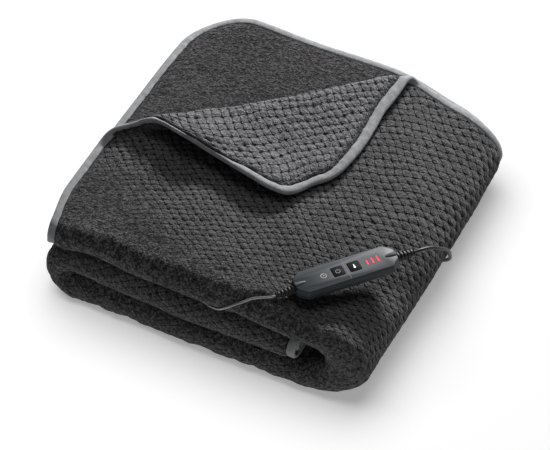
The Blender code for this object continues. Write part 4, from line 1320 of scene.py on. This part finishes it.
def make_leads(place, sheath, thin_sheath_painted_highlight, plastic, metal):
    """The mains lead with its coil and plug, and the thin lead into the cloth."""
    tail = framed(plug_place(), (-GAP, 0, 0))
    line = np.concatenate([smooth_route(mains_route(place), 0.0025), coil_route()[1:],
                           smooth_route(plug_route(tail), 0.0025)])
    mains = make_lead("mains_lead", line, MAINS_LEAD, sheath, "lead_mains", "mains_coil", "lead_plug")
    plug = make_plug(plastic, metal)
    line = smooth_route(blanket_route(place), 0.0020)
    thin = make_lead("blanket_lead", line, BLANKET_LEAD, thin_sheath_painted_highlight, "lead_blanket")


# ---- floor, light, camera

def make_floor():
    """A wide square just below the part."""
    mesh = bpy.data.meshes.new("floor")
    corners = [(x * FLOOR_SIZE, y * FLOOR_SIZE, FLOOR_HEIGHT)
               for x, y in ((-1, -1), (1, -1), (1, 1), (-1, 1))]
    mesh.from_pydata(corners, [], [(0, 1, 2, 3)])
    mesh.materials.append(floor_finish())
    placed("floor", mesh)


def make_light():
    """A pale surround, four lights on the blanket and its handset, and one on the floor."""
    scene = bpy.context.scene
    scene.world = bpy.data.worlds.new("studio")
    scene.world.use_nodes = True
    background = scene.world.node_tree.nodes["Background"]
    background.inputs["Color"].default_value = (1.0, 1.0, 1.0, 1.0)
    background.inputs["Strength"].default_value = SURROUND
    lit = {name: bpy.data.collections.new(name) for name in ("ground", "pieces")}
    for piece in scene.objects:
        if piece.type in {"MESH", "CURVE"}:
            lit["ground" if piece.name == "floor" else "pieces"].objects.link(piece)
    for receivers, name, place, aim, size, power in SOFTBOXES:
        light = bpy.data.lights.new(name, "AREA")
        light.shape = "DISK"
        light.size = size
        light.energy = power
        lamp = placed(name, light)
        lamp.location = place
        lamp.rotation_euler = (Vector(aim) - Vector(place)).to_track_quat("-Z", "Y").to_euler()
        lamp.light_linking.receiver_collection = lit[receivers]
    scene.view_settings.view_transform = "Standard"


def make_camera():
    """The photo's own view."""
    camera = bpy.data.cameras.new("camera")
    camera.lens = LENS
    camera.sensor_width = SENSOR
    camera.clip_start, camera.clip_end = 0.1, 30.0
    eye = placed("camera", camera)
    eye.location = CAMERA_PLACE - BASE
    eye.rotation_euler = (math.pi / 2 - CAMERA_ELEVATION, 0.0, CAMERA_AZIMUTH)
    bpy.context.scene.camera = eye


def main():
    """The stage, then every piece in its finish, then the light."""
    make_camera()
    make_floor()
    place = handset_place()
    rubber = moulded_finish("black rubber", (0.007, 0.0075, 0.0085), 0.50)
    sheath = moulded_finish("black lead sheath", (0.012, 0.012, 0.013), 0.44, 900.0, 0.00002, gloss=0.25)
    # the thin lead is black; its sheath gets a grey base colour as a painted highlight along its length
    thin_sheath_painted_highlight = moulded_finish("lead sheath greyed for painted highlight", (0.120, 0.120, 0.126), 0.24, 900.0, 0.00002, gloss=1.0)
    plug_plastic = moulded_finish("black plug plastic", (0.014, 0.014, 0.016), 0.45)
    reliefs = make_reliefs(place, rubber)
    make_leads(place, sheath, thin_sheath_painted_highlight, plug_plastic, pin_finish())
    dress(frame["nodes"]["entry_sleeve"], rubber)
    cloth = make_cloth(fleece_finish(), lead_lines(place))
    binding = make_binding(tape_finish())
    slate = moulded_finish("slate grey plastic", (0.021, 0.0255, 0.030), 0.50, gloss=0.18)
    make_housing(place, slate)
    make_noses(place, slate)
    make_keys(place, moulded_finish("black key plastic", (0.003, 0.003, 0.0035), 0.60, gloss=0.03),
              print_finish("grey ink", (0.16, 0.16, 0.17)), print_finish("white ink", (0.75, 0.76, 0.78)))
    make_marks(place, print_finish("pale ink", (0.30, 0.31, 0.32)),
               print_finish("rose ink", (0.11, 0.060, 0.068)))
    lens = lamp_finish()
    for name in LAMPS:
        dress(frame["nodes"][name], lens)
    make_light()


main()
